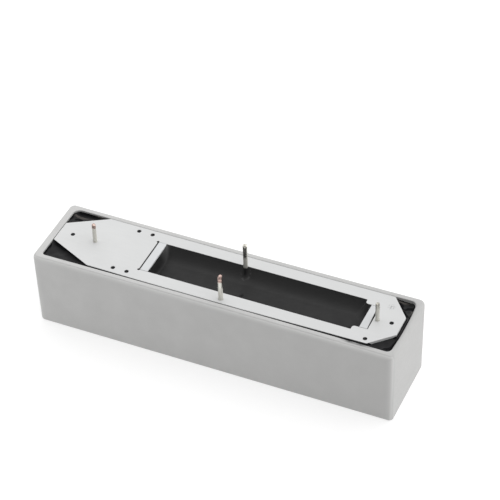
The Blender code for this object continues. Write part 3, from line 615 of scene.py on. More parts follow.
def inner_rim_loop(angle):
    """The rim's inner edge: on the right wall it stands in at the corners and is rounder in the middle."""
    points = cavity_loop(CASE_HEIGHT)
    facings = []
    for corner in range(4):
        turns = [pi / 2 * (corner + step / CORNER_STEPS) for step in range(CORNER_STEPS + 1)]
        facings.extend(Vector((cos(turn), sin(turn), 0)) for turn in turns)
        if corner != 1:
            facings.extend([facings[-1]] * (BOW_STEPS - 1))
    for point, facing in zip(points, facings):
        share = max(facing.x, 0) ** 2
        middle = 1 - min(abs(2 * point.y / CASE_WIDTH) ** 2 / RIGHT_RIM_BLEND, 1)
        point.x -= share * between(RIGHT_RIM_IN, middle)
        radius = between((CASE_RIM_INNER_RADIUS, between(RIGHT_RIM_INNER_RADII, middle)), share)
        point += facing * radius * (1 - sin(angle))
        point.z -= radius * (1 - cos(angle))
    return points


def make_case(material):
    loops = []
    angles = [pi / 2 * step / ARC_STEPS for step in range(ARC_STEPS + 1)]
    for angle in angles:
        height = CASE_FOOT_RADIUS * (1 - cos(angle))
        loops.append(outer_loop(height, CASE_FOOT_RADIUS * (1 - sin(angle))))
    for angle in angles:
        height = CASE_HEIGHT - CASE_RIM_DROP * (1 - sin(angle))
        loops.append(outer_loop(height, CASE_RIM_RADIUS * (1 - cos(angle))))
    for angle in angles:
        loops.append(inner_rim_loop(angle))
    loops.append(cavity_loop(CASE_FLOOR))
    case = finished("case", merged([loft(loops)]), material, CASE_SHARP_DEGREES)
    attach(case, "relay_body")
    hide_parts("case_shell")


# Board


def board_outline():
    """The elongated octagon, its far edge following the case's wall."""
    tip_low = BOARD_MIDDLE_Y - BOARD_TIP_WIDTH / 2
    tip_high = BOARD_MIDDLE_Y + BOARD_TIP_WIDTH / 2
    far_right = BOARD_RIGHT - BOARD_FAR_RIGHT_CHAMFER
    far_left = BOARD_LEFT + BOARD_FAR_LEFT_CHAMFER
    near_right = BOARD_RIGHT - BOARD_NEAR_RIGHT_CHAMFER
    near_left = BOARD_LEFT + BOARD_NEAR_LEFT_CHAMFER
    wall = CASE_WIDTH / 2 - CASE_SIDE_WALL
    outline = [(BOARD_RIGHT, tip_low), (BOARD_RIGHT, tip_high)]
    radii = [BOARD_CORNER_RADIUS] * 2
    for step in range(BOW_STEPS + 1):
        x = far_right + (far_left - far_right) * step / BOW_STEPS
        outline.append((x, wall - bow_at(x, CASE_HEIGHT) - BOARD_FAR_LINE))
        radii.append(BOARD_CORNER_RADIUS if step in (0, BOW_STEPS) else 0)
    outline += [(BOARD_LEFT, tip_high + BOARD_FAR_TIP_RISE), (BOARD_LEFT, tip_low)]
    radii += [BOARD_CORNER_RADIUS] * 2
    for step in range(BOW_STEPS + 1):
        x = near_left + (near_right - near_left) * step / BOW_STEPS
        right_share = eased_in(x, BOARD_DRAWN_FROM, near_right - BOARD_DRAWN_FROM)
        left_share = eased_in(-x, BOARD_LEFT_DRAWN_FROM, BOARD_LEFT_DRAWN_OVER)
        drawn_in = BOARD_DRAWN_IN * right_share + BOARD_DRAWN_IN_LEFT * left_share
        outline.append((x, BOARD_NEAR_Y + drawn_in))
        radii.append(BOARD_CORNER_RADIUS if step in (0, BOW_STEPS) else 0)
    return rounded(outline, radii, 4)


def relief(x, y, first_turn):
    """Three quarters of a circle round a corner of the window."""
    points = []
    for step in range(RELIEF_STEPS + 1):
        turn = first_turn + 1.5 * pi * step / RELIEF_STEPS
        points.append((x + RELIEF_RADIUS * cos(turn), y + RELIEF_RADIUS * sin(turn)))
    return points


def window_outline():
    low = PATTERN_Y - WINDOW_HALF_WIDTH
    high = PATTERN_Y + WINDOW_HALF_WIDTH
    neck_low = PATTERN_Y - NECK_HALF_WIDTH
    neck_high = PATTERN_Y + NECK_HALF_WIDTH
    corners = [
        (WINDOW_LEFT + RELIEF_RADIUS, low),
        (WINDOW_NECK_X, low),
        (WINDOW_NECK_X, neck_low),
        (WINDOW_RIGHT, neck_low),
        (WINDOW_RIGHT, neck_high),
        (WINDOW_NECK_X, neck_high),
        (WINDOW_NECK_X, high),
        (WINDOW_LEFT + RELIEF_RADIUS, high),
    ]
    inner = NECK_INNER_ROUND
    right = rounded(corners, [0, inner, NECK_ROUND, inner, inner, NECK_ROUND, inner, 0])
    return right[1:-1] + relief(WINDOW_LEFT, high, 0) + relief(WINDOW_LEFT, low, pi / 2)


def board_holes():
    row = BOARD_HALF_WIDTH - PAIR_HOLE_EDGE
    centres = [
        (BOARD_LEFT + LEFT_TIP_HOLE_EDGE, PATTERN_Y),
        (BOARD_RIGHT - RIGHT_TIP_HOLE_EDGE, PATTERN_Y),
        (BOARD_RIGHT - SIDE_HOLE_TIP_EDGE, PATTERN_Y - row),
    ]
    right_pair = WINDOW_LEFT - PAIR_HOLE_TO_WINDOW
    for x in (right_pair - PAIR_HOLE_PITCH, right_pair):
        centres.append((x, PATTERN_Y + row))
        centres.append((x, PATTERN_Y - row))
    return centres


def make_board(material):
    holes = [window_outline()]
    for x, y in board_holes():
        holes.append(circle(x, y, BOARD_HOLE_RADIUS, HOLE_SIDES))
    for x, y, radius in (
        (LEFT_PIN_X, 0.0, CONTACT_PIN_RADIUS),
        (RIGHT_PIN_X, 0.0, CONTACT_PIN_RADIUS),
        (*FRONT_PIN, COIL_PIN_RADIUS),
    ):
        holes.append(circle(x, y, radius + PIN_SINK, WIRE_SIDES))
    builder = plate(board_outline(), holes, BOARD_UNDERSIDE, BOARD_TOP, BOARD_EDGE_ROUND)
    board = finished("board", merged([builder]), material, PLATE_SHARP_DEGREES)
    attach(board, "relay_body")
    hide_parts("terminal_board")


# Bobbin


def flange(ends, tab_half_width):
    half = FLANGE_HALF_WIDTH
    bottom = CASE_FLOOR + SEAT_GAP
    shoulder = BOARD_UNDERSIDE - SEAT_GAP
    tab_low = PATTERN_Y - tab_half_width
    tab_high = PATTERN_Y + tab_half_width
    side_view = [
        (-half + FLANGE_CHAMFER, bottom),
        (half - FLANGE_CHAMFER, bottom),
        (half, bottom + FLANGE_CHAMFER),
        (half, shoulder),
        (tab_high, shoulder),
        (tab_high, BOARD_TOP),
        (tab_low, BOARD_TOP),
        (tab_low, shoulder),
        (-half, shoulder),
        (-half, bottom + FLANGE_CHAMFER),
    ]
    bore = circle(0, COIL_AXIS_Z, BORE_RADIUS, ROUND_SIDES)
    builder = plate(side_view, [bore], *ends, FLANGE_EDGE_ROUND)
    upright = Matrix(((0, 0, 1), (1, 0, 0), (0, 1, 0))).to_4x4()
    bmesh.ops.transform(builder, matrix=upright, verts=builder.verts)
    return builder


def make_bobbin(material):
    start = LEFT_FLANGE[1]
    stop = RIGHT_FLANGE[0]
    loops = []
    for radius, x in ((BORE_RADIUS, start), (TUBE_RADIUS, start), (TUBE_RADIUS, stop), (BORE_RADIUS, stop)):
        ring = circle(0, COIL_AXIS_Z, radius, ROUND_SIDES)
        loops.append([Vector((x, y, z)) for y, z in ring])
    right_flange = flange(RIGHT_FLANGE, RIGHT_TAB_HALF_WIDTH)
    shoulder = BOARD_UNDERSIDE - SEAT_GAP - FLANGE_EDGE_ROUND
    middle_x = sum(RIGHT_FLANGE) / 2
    for point in right_flange.verts:
        if point.co.z > shoulder and point.co.x > middle_x:
            from_far_end = PATTERN_Y + RIGHT_TAB_HALF_WIDTH - point.co.y
            point.co.x += RIGHT_TAB_SPREAD * from_far_end / (2 * RIGHT_TAB_HALF_WIDTH)
    shells = [flange(LEFT_FLANGE, LEFT_TAB_HALF_WIDTH), right_flange]
    shells.append(loft(loops, closed=True))
    bobbin = finished("bobbin", merged(shells), material, PLATE_SHARP_DEGREES)
    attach(bobbin, "relay_body")
    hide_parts("coil_bobbin")


# Pins


def tip_loops(x, y, top, radius, slant, heading):
    """The pinched, slanting end that the cutter leaves on a wire, from its shoulder to its middle."""
    loops = []
    for share, drop in TIP_RINGS:
        loop = []
        for side in range(WIRE_SIDES):
            turn = 2 * pi * side / WIRE_SIDES
            lean = slant * (1 - share * cos(turn - heading)) / 2
            burr = TIP_BURR * (1 + sin(3 * turn + 5 * heading)) * share**4
            reach = radius * share
            place = (x + reach * cos(turn), y + reach * sin(turn))
            loop.append(Vector((*place, top - drop - lean - burr)))
        loops.append(loop)
    return loops


def contact_pin(name, x, top, cut, look):
    loops = []
    straight_top = top - TIP_LENGTH
    for step in range(STRAIGHT_STEPS + 1):
        z = CONTACT_PIN_FOOT + (straight_top - CONTACT_PIN_FOOT) * step / STRAIGHT_STEPS
        loops.append(level_ring(x, 0.0, CONTACT_PIN_RADIUS, z, WIRE_SIDES))
    loops += tip_loops(x, 0.0, top, CONTACT_PIN_RADIUS, *cut)
    make_pin(name, name.replace("wire_", "contact_pin_"), loops, top, look)


def coil_pin(name, place, direction, cut, look):
    """Down through the board, in one smooth bend to the winding's shoulder, and along it."""
    x, y = place
    side = copysign(1, y)
    foot_y = side * FOOT_DISTANCE * sin(COIL_FOOT_TURN)
    foot_z = COIL_AXIS_Z + FOOT_DISTANCE * cos(COIL_FOOT_TURN)
    drop = BOARD_UNDERSIDE - foot_z
    start = Vector((x, y, BOARD_UNDERSIDE))
    finish = Vector((x + direction * drop, foot_y, foot_z))
    start_pull = start - Vector((0, 0, drop * BEND_PULL))
    finish_pull = finish - Vector((direction * drop * BEND_PULL, 0, 0))
    bend = []
    for step in range(BEND_STEPS + 1):
        share = step / BEND_STEPS
        rest = 1 - share
        point = rest**3 * start + share**3 * finish
        point += 3 * rest**2 * share * start_pull + 3 * rest * share**2 * finish_pull
        bend.append(point)
    bend.append(Vector((x + direction * COIL_FOOT_LENGTH, foot_y, foot_z)))
    loops = []
    side_way = Vector((0, 1, 0))
    for index, point in reversed(list(enumerate(bend))):
        before = bend[max(index - 1, 0)]
        after = bend[min(index + 1, len(bend) - 1)]
        forward = (before - after).normalized() if index else Vector((0, 0, 1))
        side_way = (side_way - forward * side_way.dot(forward)).normalized()
        other_way = forward.cross(side_way)
        loop = []
        for number in range(WIRE_SIDES):
            turn = 2 * pi * number / WIRE_SIDES
            loop.append(point + COIL_PIN_RADIUS * (cos(turn) * side_way + sin(turn) * other_way))
        loops.append(loop)
    last = loops[-1]
    turns = [atan2(point.y - y, point.x - x) for point in last]
    numbers = [round(turn / (2 * pi) * WIRE_SIDES) % WIRE_SIDES for turn in turns]
    for rise in COIL_PIN_RISES:
        z = BOARD_UNDERSIDE + (COIL_PIN_TOP - TIP_LENGTH - BOARD_UNDERSIDE) * rise
        loops.append([Vector((point.x, point.y, z)) for point in last])
    for loop in tip_loops(x, y, COIL_PIN_TOP, COIL_PIN_RADIUS, *cut):
        loops.append([loop[number] for number in numbers])
    make_pin(name, name.replace("wire_", "coil_pin_"), loops, COIL_PIN_TOP, look)


def make_pin(name, node, loops, top, look):
    material = tinned(name + "_tin", top, *look)
    pin = finished(name, merged([loft(loops)]), material, SOFT_SHARP_DEGREES)
    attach(pin, "relay_body")
    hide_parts(node)


# Resin


def boxes_off(mesh, boxes):
    """A copy of a node's mesh, with boxes cut out of it."""
    builder = bmesh.new()
    builder.from_mesh(mesh)
    bmesh.ops.remove_doubles(builder, verts=builder.verts, dist=1e-7)
    body = placed("lower_resin", mesh_of("lower_resin", builder))
    cutters = []
    for low, high in boxes:
        cutter_builder = bmesh.new()
        bmesh.ops.create_cube(cutter_builder, size=1.0)
        for point in cutter_builder.verts:
            for axis in range(3):
                point.co[axis] = low[axis] if point.co[axis] < 0 else high[axis]
        cutter = placed("cutter", mesh_of("cutter", cutter_builder))
        step = body.modifiers.new("cut", "BOOLEAN")
        step.operation = "DIFFERENCE"
        step.solver = "EXACT"
        step.object = cutter
        cutters.append(cutter)
    bpy.context.view_layer.update()
    evaluated = body.evaluated_get(bpy.context.evaluated_depsgraph_get())
    result = bpy.data.meshes.new_from_object(evaluated)
    for thing in [body] + cutters:
        old = thing.data
        bpy.data.objects.remove(thing, do_unlink=True)
        bpy.data.meshes.remove(old)
    return result


def strips():
    """Outlines of the bobbin's two tabs, where they stand in the window."""
    outlines = []
    for (left, right), half_width, near_spread in (
        (LEFT_FLANGE, LEFT_TAB_HALF_WIDTH, 0.0),
        (RIGHT_FLANGE, RIGHT_TAB_HALF_WIDTH, RIGHT_TAB_SPREAD),
    ):
        low = PATTERN_Y - half_width
        high = PATTERN_Y + half_width
        outlines.append([(left, low), (right + near_spread, low), (right, high), (left, high)])
    return outlines


def window_height(x, y):
    """The dished surface: steep at the board's edge and the strips, flat in the middle."""
    edge = nearest(x, y, [window_outline()])[2]
    strip = nearest(x, y, strips())[2]
    from_edge = 1 - (1 - np.clip(edge / RESIN_DISH_SPREAD, 0, 1)) ** RESIN_DISH_POWER
    from_strip = 1 - (1 - np.clip(strip / RESIN_STRIP_SPREAD, 0, 1)) ** RESIN_STRIP_POWER
    depth = RESIN_DISH_DEPTH * from_edge * (RESIN_STRIP_LEAST + (1 - RESIN_STRIP_LEAST) * from_strip)
    open_share = np.clip(edge / RESIN_OPEN_REACH, 0, 1) * np.clip(strip / RESIN_OPEN_REACH, 0, 1)
    depth += open_share * uneven(x, y, RESIN_WAVES)
    ridge_y = RESIN_RIDGE_Y + uneven(x, 0 * y, RESIN_RIDGE_WAVES)
    depth -= RESIN_RIDGE_HEIGHT * open_share * np.exp(-(((y - ridge_y) / RESIN_RIDGE_WIDTH) ** 2))
    pin = np.hypot(x - REAR_PIN[0], y - REAR_PIN[1]) - COIL_PIN_RADIUS
    meniscus = MENISCUS_HEIGHT * np.exp(-np.clip(pin, 0, None) / MENISCUS_REACH)
    depth -= meniscus * np.clip(edge / MENISCUS_ROOM, 0, 1)
    pit = np.hypot(x - RESIN_PIT[0], (y - RESIN_PIT[1]) / RESIN_PIT_LENGTHENED)
    depth += RESIN_PIT_DEPTH * np.exp(-((pit / RESIN_PIT_WIDTH) ** 2))
    top = BOARD_TOP - RESIN_EDGE_DROP - np.clip(depth, 0, None)
    return np.maximum(top, RESIN_PLUG_BOTTOM + RESIN_LEAST)


def window_resin():
    outline = window_outline()
    holes = strips() + [circle(*REAR_PIN, COIL_PIN_RADIUS, WIRE_SIDES)]
    x_stops = [
        WINDOW_LEFT - RELIEF_RADIUS,
        WINDOW_LEFT,
        *LEFT_FLANGE,
        WINDOW_NECK_X,
        *RIGHT_FLANGE,
        WINDOW_RIGHT,
    ]
    halves = [
        WINDOW_HALF_WIDTH + RELIEF_RADIUS,
        WINDOW_HALF_WIDTH,
        LEFT_TAB_HALF_WIDTH,
        NECK_HALF_WIDTH,
        RIGHT_TAB_HALF_WIDTH,
    ]
    y_stops = [PATTERN_Y - half for half in halves]
    y_stops += [PATTERN_Y + half for half in reversed(halves)]
    lines = (grid_lines(x_stops, RESIN_STEP), grid_lines(y_stops, RESIN_STEP))
    return field_solid(*lines, outline, holes, window_height, RESIN_PLUG_BOTTOM + PIN_SINK)


def stations_on(outline, spacing):
    """Points along a closed outline, no further apart than the spacing."""
    stations = []
    for (start_x, start_y), (end_x, end_y) in edges_of(outline):
        count = max(1, ceil(hypot(end_x - start_x, end_y - start_y) / spacing))
        for step in range(count):
            x = start_x + (end_x - start_x) * step / count
            y = start_y + (end_y - start_y) * step / count
            stations.append((x, y))
    return np.array(stations)


def border_resin():
    """The resin between the board's edge and the case's wall."""
    board = board_outline()
    wall = [(point.x, point.y) for point in inner_rim_loop(pi / 2)]
    inner = stations_on(board, BORDER_STATION)
    targets = wall_targets(inner)
    near_x, near_y, _ = nearest(targets[:, 0], targets[:, 1], [wall])
    outer = np.stack([near_x, near_y], axis=1)
    rows = []
    for step in range(BORDER_ROWS + 1):
        share = 0.5 - 0.5 * cos(pi * (step / BORDER_ROWS))
        rows.append(inner + (outer - inner) * share)
    x = np.array([row[:, 0] for row in rows])
    y = np.array([row[:, 1] for row in rows])
    heights = border_height(x, y, board, wall)
    bottom = BOARD_UNDERSIDE - SEAT_GAP + PIN_SINK
    loops = [list(zip(*row)) for row in zip(x, y, heights)]
    for row in (BORDER_ROWS, BORDER_ROWS // 2, 0):
        loops.append([(*place, bottom) for place in rows[row]])
    return loft(loops, closed=True)


def wall_targets(inner):
    """Where each place on the board's edge looks to on the wall: straight out, fanned round the corners."""
    targets = inner.copy()
    half_x = (CASE_LENGTH - CASE_LEFT_WALL - CASE_RIGHT_WALL) / 2
    middle_x = (CASE_LEFT_WALL - CASE_RIGHT_WALL) / 2
    half_y = CASE_WIDTH / 2 - CASE_SIDE_WALL
    tip = BOARD_TIP_WIDTH / 2
    for index, (x, y) in enumerate(inner):
        up = copysign(1, y - BOARD_MIDDLE_Y)
        off = abs(y - BOARD_MIDDLE_Y)
        chamfer = FAN_CHAMFERS[0] if x < 0 else FAN_CHAMFERS[1]
        shoulder = BOARD_LEFT + chamfer if x < 0 else BOARD_RIGHT - chamfer
        end = middle_x + copysign(half_x, x)
        beyond = (x - shoulder) * copysign(1, x)
        if beyond <= 0:
            targets[index] = (x, up * half_y)
        elif off <= tip + BOARD_CORNER_RADIUS:
            targets[index] = (end, y)
        else:
            share = min(max(beyond / chamfer, 0), 1)
            run = abs(end - shoulder)
            rise = half_y - abs(BOARD_MIDDLE_Y + up * tip)
            travel = share * (run + rise)
            if travel <= run:
                targets[index] = (shoulder + copysign(travel, x), up * half_y)
            else:
                targets[index] = (end, up * (half_y - (travel - run)))
    return targets


def border_height(x, y, board, wall):
    """Level in the corners, climbing to the board's edge and up the walls."""
    from_board = nearest(x, y, [board])[2]
    from_wall = nearest(x, y, [wall])[2]
    near_right = eased_in(x, NEAR_RIGHT_PLACE[0], NEAR_RIGHT_BLEND[0])
    near_right *= eased_in(-y, NEAR_RIGHT_PLACE[1], NEAR_RIGHT_BLEND[1])
    right_end = eased_in(x, BOARD_RIGHT - RIGHT_END_BLEND, RIGHT_END_BLEND)
    edge_top = BOARD_TOP - RESIN_EDGE_DROP - NEAR_RIGHT_DROP * near_right - RIGHT_END_DROP * right_end
    far_right = eased_in(x, FAR_RIGHT_PLACE[0], FAR_RIGHT_BLEND)
    far_right *= eased_in(y, FAR_RIGHT_PLACE[1], FAR_RIGHT_BLEND)
    wall_top = CASE_HEIGHT - WALL_DROP - FAR_RIGHT_DROP * far_right
    by_board = np.exp(-from_board / BOARD_CLIMB)
    by_wall = np.exp(-from_wall / WALL_CLIMB)
    climb = edge_top * by_board + wall_top * by_wall
    share = 1 - (1 - by_board) * (1 - by_wall)
    goal = climb / np.maximum(by_board + by_wall, 1e-9)
    level = CORNER_LEVEL + uneven(x, y, CORNER_WAVES)
    height = level + (goal - level) * share
    return np.minimum(height, BOARD_TOP - RESIN_EDGE_DROP)


def hole_plug(x, y, number):
    """Resin in a small hole, with a hollow top that is deeper in some holes than in others."""
    radius = BOARD_HOLE_RADIUS - PIN_SINK
    loops = [level_ring(x, y, radius, BOARD_UNDERSIDE + PIN_SINK, HOLE_SIDES)]
    hollow = PLUG_LEAST + PLUG_SPREAD * ((number * 7) % 5) / 4
    for share, drop in PLUG_RINGS:
        loops.append(level_ring(x, y, radius * share, BOARD_TOP - drop * hollow, HOLE_SIDES))
    return loft(loops)


def make_resin(material):
    shells = [window_resin(), border_resin()]
    for number, (x, y) in enumerate(board_holes()):
        shells.append(hole_plug(x, y, number))
    whole = merged(shells)
    low_y = PATTERN_Y - WINDOW_HALF_WIDTH
    high_y = PATTERN_Y + WINDOW_HALF_WIDTH
    far = 0.05
    boxes = [
        ((-far, -far, BOARD_UNDERSIDE - SEAT_GAP), (far, far, far)),
        ((WINDOW_LEFT, low_y, RESIN_PLUG_BOTTOM), (WINDOW_RIGHT, high_y, far)),
    ]
    lower = boxes_off(NODES["potting_compound"].data, boxes)
    whole.from_mesh(lower)
    bpy.data.meshes.remove(lower)
    resin = finished("resin", whole, material, SOFT_SHARP_DEGREES)
    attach(resin, "relay_body")
    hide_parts("potting_compound")


# Materials


def tinted(color, tone):
    return tuple(min(tone * part, 1.0) for part in color)


class Graph:
    """A node tree and short ways to add to it."""

    def __init__(self, tree, place):
        self.nodes = tree.nodes
        self.links = tree.links
        self.place = self.nodes.new("ShaderNodeTexCoord").outputs[place]

    def joined(self, first, second, operation="ADD", third=None):
        node = self.nodes.new("ShaderNodeMath")
        node.operation = operation
        for socket, value in zip(node.inputs, (first, second, third)):
            if isinstance(value, float):
                socket.default_value = value
            elif value is not None:
                self.links.new(value, socket)
        return node.outputs[0]

    def times(self, *values):
        """The product of two or more values."""
        product = values[0]
        for value in values[1:]:
            product = self.joined(product, value, "MULTIPLY")
        return product

    def joined_vectors(self, operation, first, second=None):
        node = self.nodes.new("ShaderNodeVectorMath")
        node.operation = operation
        self.links.new(first, node.inputs[0])
        if second is not None:
            node.inputs[1].default_value = second
        return node.outputs

    def axis(self, name):
        node = self.nodes.new("ShaderNodeSeparateXYZ")
        self.links.new(self.place, node.inputs[0])
        return node.outputs[name]


class Shading(Graph):
    """A Principled material and short ways to add its nodes."""

    def __init__(self, name, **values):
        self.material = bpy.data.materials.new(name)
        self.material.use_nodes = True
        super().__init__(self.material.node_tree, "Object")
        self.shader = self.nodes["Principled BSDF"]
        set_of(self.shader, **values)

    def stretched(self, scale):
        mapping = self.nodes.new("ShaderNodeMapping")
        mapping.inputs["Scale"].default_value = scale
        self.links.new(self.place, mapping.inputs["Vector"])
        return mapping.outputs["Vector"]

    def noise(self, scale, detail=3.0, roughness=0.55, place=None, distortion=0.0):
        node = self.nodes.new("ShaderNodeTexNoise")
        set_of(node, Scale=scale, Detail=detail, Roughness=roughness, Distortion=distortion)
        self.links.new(place or self.place, node.inputs["Vector"])
        return node.outputs["Fac"]

    def ranged(self, value, low, high, from_low=0.3, from_high=0.7):
        node = self.nodes.new("ShaderNodeMapRange")
        values = {"From Min": from_low, "From Max": from_high, "To Min": low, "To Max": high}
        for name, number in values.items():
            node.inputs[name].default_value = number
        self.links.new(value, node.inputs["Value"])
        return node.outputs["Result"]

    def along(self, axis, low, high, start, end):
        """A value that runs from low to high between two places on an axis."""
        return self.ranged(self.axis(axis), low, high, start, end)

    def mixed(self, share, first, second):
        node = self.nodes.new("ShaderNodeMix")
        node.data_type = "RGBA"
        self.links.new(share, node.inputs["Factor"])
        for socket, color in ((node.inputs[6], first), (node.inputs[7], second)):
            if isinstance(color, tuple):
                socket.default_value = (*color, 1.0)
            else:
                self.links.new(color, socket)
        return node.outputs[2]

    def away_from(self, point, weights):
        """Distance from a point, each axis weighed by its own factor."""
        offset = self.joined_vectors("SUBTRACT", self.place, point)[0]
        weighed = self.joined_vectors("MULTIPLY", offset, weights)[0]
        return self.joined_vectors("LENGTH", weighed)["Value"]

    def color(self, value):
        self.links.new(value, self.shader.inputs["Base Color"])

    def rough(self, value):
        self.links.new(value, self.shader.inputs["Roughness"])

    def bump(self, value, depth, strength=1.0):
        node = self.nodes.new("ShaderNodeBump")
        node.inputs["Distance"].default_value = depth
        node.inputs["Strength"].default_value = strength
        self.links.new(value, node.inputs["Height"])
        self.links.new(node.outputs["Normal"], self.shader.inputs["Normal"])


def painted_edge_light(look):
    """How near a place is to a long wall's rim or an upright edge, for painted light through the plastic."""
    off_end = look.joined(look.axis("X"), 0.0, "ABSOLUTE")
    off_side = look.joined(look.axis("Y"), 0.0, "ABSOLUTE")
    half_length = CASE_LENGTH / 2
    half_width = CASE_WIDTH / 2
    outside = look.ranged(off_side, 0, 1, *(half_width - depth for depth in GLOW_SIDE_DEPTHS))
    upright = look.ranged(off_end, 0, UPRIGHT_GLOW_SHARE, half_length - UPRIGHT_GLOW, half_length)
    rim = look.along("Z", 0, 1, CASE_HEIGHT - RIM_GLOW, CASE_HEIGHT)
    off_top = look.along("Z", 1, 0, *(CASE_HEIGHT - depth for depth in GLOW_TOP_DEPTHS))
    rim = look.times(rim, off_top)
    edge = look.times(outside, look.joined(rim, upright, "MAXIMUM"))
    return look.times(edge, edge)


def painted_shade_to_the_right(look):
    """How far along the case a place is, for painted shade that darkens pieces towards the right end."""
    return look.along("X", 0, RIGHT_SHADE_SHARE, -CASE_LENGTH / 2, CASE_LENGTH / 2)


def moulded(name, color, edge_light_and_smear=False):
    """Grained matte plastic, faint flow marks, painted right-end shade; the case: painted edge light, resin
    smear.
    """
    look = Shading(name)
    dark, light = (tinted(color, tone) for tone in PLASTIC_TONES)
    toned = look.mixed(look.ranged(look.noise(260, 4), 0, 1), dark, light)
    # Painted shade, a little darker towards the right end
    toned = look.mixed(painted_shade_to_the_right(look), toned, tinted(color, PLASTIC_RIGHT_SHADE))
    if edge_light_and_smear:
        # Painted light along the rim and upright edges
        toned = look.mixed(painted_edge_light(look), toned, tinted(color, EDGE_LIGHT_TONE))
        near_smear = look.ranged(look.away_from(SMEAR_PLACE, SMEAR_WEIGHTS), 1.0, 0, *SMEAR_REACH)
        streaky = look.noise(1400, 3, 0.5, look.stretched((0.3, 1.0, 1.0)))
        patchy = look.ranged(streaky, 0.45, 1, 0.36, 0.56)
        toned = look.mixed(look.times(near_smear, patchy), toned, SMEAR_COLOR)
    look.color(toned)
    look.rough(look.ranged(look.noise(2600, 3), 0.48, 0.62))
    fine = look.noise(7000, 3)
    flow = look.noise(420, 2, place=look.stretched((0.35, 1.0, 1.0)))
    look.bump(look.joined(fine, look.times(flow, 1.6)), 0.000006)
    return look.material


def laminate(name, color):
    """White board: faint fibres along it, a little cloudy, with fine speckles and painted shade to the
    right.
    """
    look = Shading(name)
    fibres = look.noise(900, 5, 0.6, look.stretched((0.35, 2.6, 1.0)))
    cloudy = look.noise(170, 3)
    both = look.joined(fibres, cloudy)
    dark, light = (tinted(color, tone) for tone in BOARD_TONES)
    white = look.mixed(look.ranged(both, 0, 1, 0.75, 1.25), dark, light)
    off_mark = look.away_from(BOARD_MARK, (1.0, 1.0, 1.0))
    near_mark = look.ranged(off_mark, 0.7, 0, *BOARD_MARK_REACH)
    specks = look.ranged(look.noise(4200, 2), 0, 1, 0.46, 0.6)
    # Painted shade, a little darker towards the right end
    toned = look.mixed(painted_shade_to_the_right(look), white, tinted(color, BOARD_RIGHT_SHADE))
    look.color(look.mixed(look.times(near_mark, specks), toned, tinted(color, BOARD_MARK_TONE)))
    look.rough(look.ranged(fibres, 0.42, 0.6))
    weave = look.noise(2300, 3, 0.5, look.stretched((1.0, 1.4, 1.0)))
    look.bump(look.joined(fibres, weave), 0.000008)
    return look.material


def cast_resin(name):
    """Cast black resin: paler in the dished window, painted light and shade, glossier and streaked corners.
    """
    look = Shading(name, Specular_IOR_Level=0.17)
    middle = (WINDOW_LEFT + WINDOW_RIGHT) / 2
    off_middle = look.joined(look.joined(look.axis("X"), middle, "SUBTRACT"), 0.0, "ABSOLUTE")
    half = (WINDOW_RIGHT - WINDOW_LEFT) / 2
    corner = look.ranged(off_middle, 0, 1, *(half + edge for edge in CORNER_BLEND))
    dished = look.mixed(look.ranged(look.noise(300, 3), 0, 1), RESIN_DARK, RESIN_LIGHT)
    # Painted light: paler over the window's far side
    dished = look.mixed(look.along("Y", 0, 1, *FAR_SIDE_BLEND), dished, RESIN_FAR_SIDE_LIGHT)
    # Painted highlight on the resin's slope beside the left strip
    strip_highlight = look.times(
        look.along("X", 1, 0, *(LEFT_FLANGE[1] + edge for edge in STRIP_BLEND_X)),
        look.along("Y", 0, 1, *STRIP_BLEND_Y),
        look.along("X", 0, 1, WINDOW_LEFT, WINDOW_LEFT + WINDOW_END_BLEND),
    )
    dished = look.mixed(strip_highlight, dished, RESIN_STRIP_HIGHLIGHT)
    from_pin = look.away_from((*REAR_PIN, 0.0), (1.0, 1.0, 0.0))
    ring = look.times(
        look.ranged(from_pin, 0, 1, *PIN_RING_STARTS),
        look.ranged(from_pin, 1, 0, *PIN_RING_ENDS),
        look.ranged(look.noise(2100, 2), 0, 1, 0.45, 0.6),
    )
    dished = look.mixed(ring, dished, RESIN_PIN_RING)
    # Painted shade in the pit
    from_pit = look.away_from((*RESIN_PIT, 0.0), (1.0, 0.8, 0.0))
    dished = look.mixed(look.ranged(from_pit, 1, 0, *PIT_BLEND), dished, RESIN_PIT_SHADE)
    # Painted shade in the corners beside the board, outside the window's ends
    corner_shaded = look.mixed(corner, dished, RESIN_CORNER_SHADE)
    # Lighter streaks in the corners near the far wall
    streaks = look.noise(1700, 2, 0.5, look.stretched((0.12, 1.0, 1.0)))
    far_corner = look.times(corner, look.along("Y", 0, 1, *FAR_STREAK_BLEND))
    streaked = look.times(far_corner, look.ranged(streaks, 0, 1, 0.56, 0.66))
    look.color(look.mixed(streaked, corner_shaded, RESIN_STREAK))
    satin = look.ranged(look.noise(700, 4), 0.36, 0.50)
    look.rough(look.times(satin, look.ranged(corner, 1.0, 0.3, 0, 1)))
    look.bump(look.noise(650, 2, distortion=0.4), 0.00004)
    return look.material


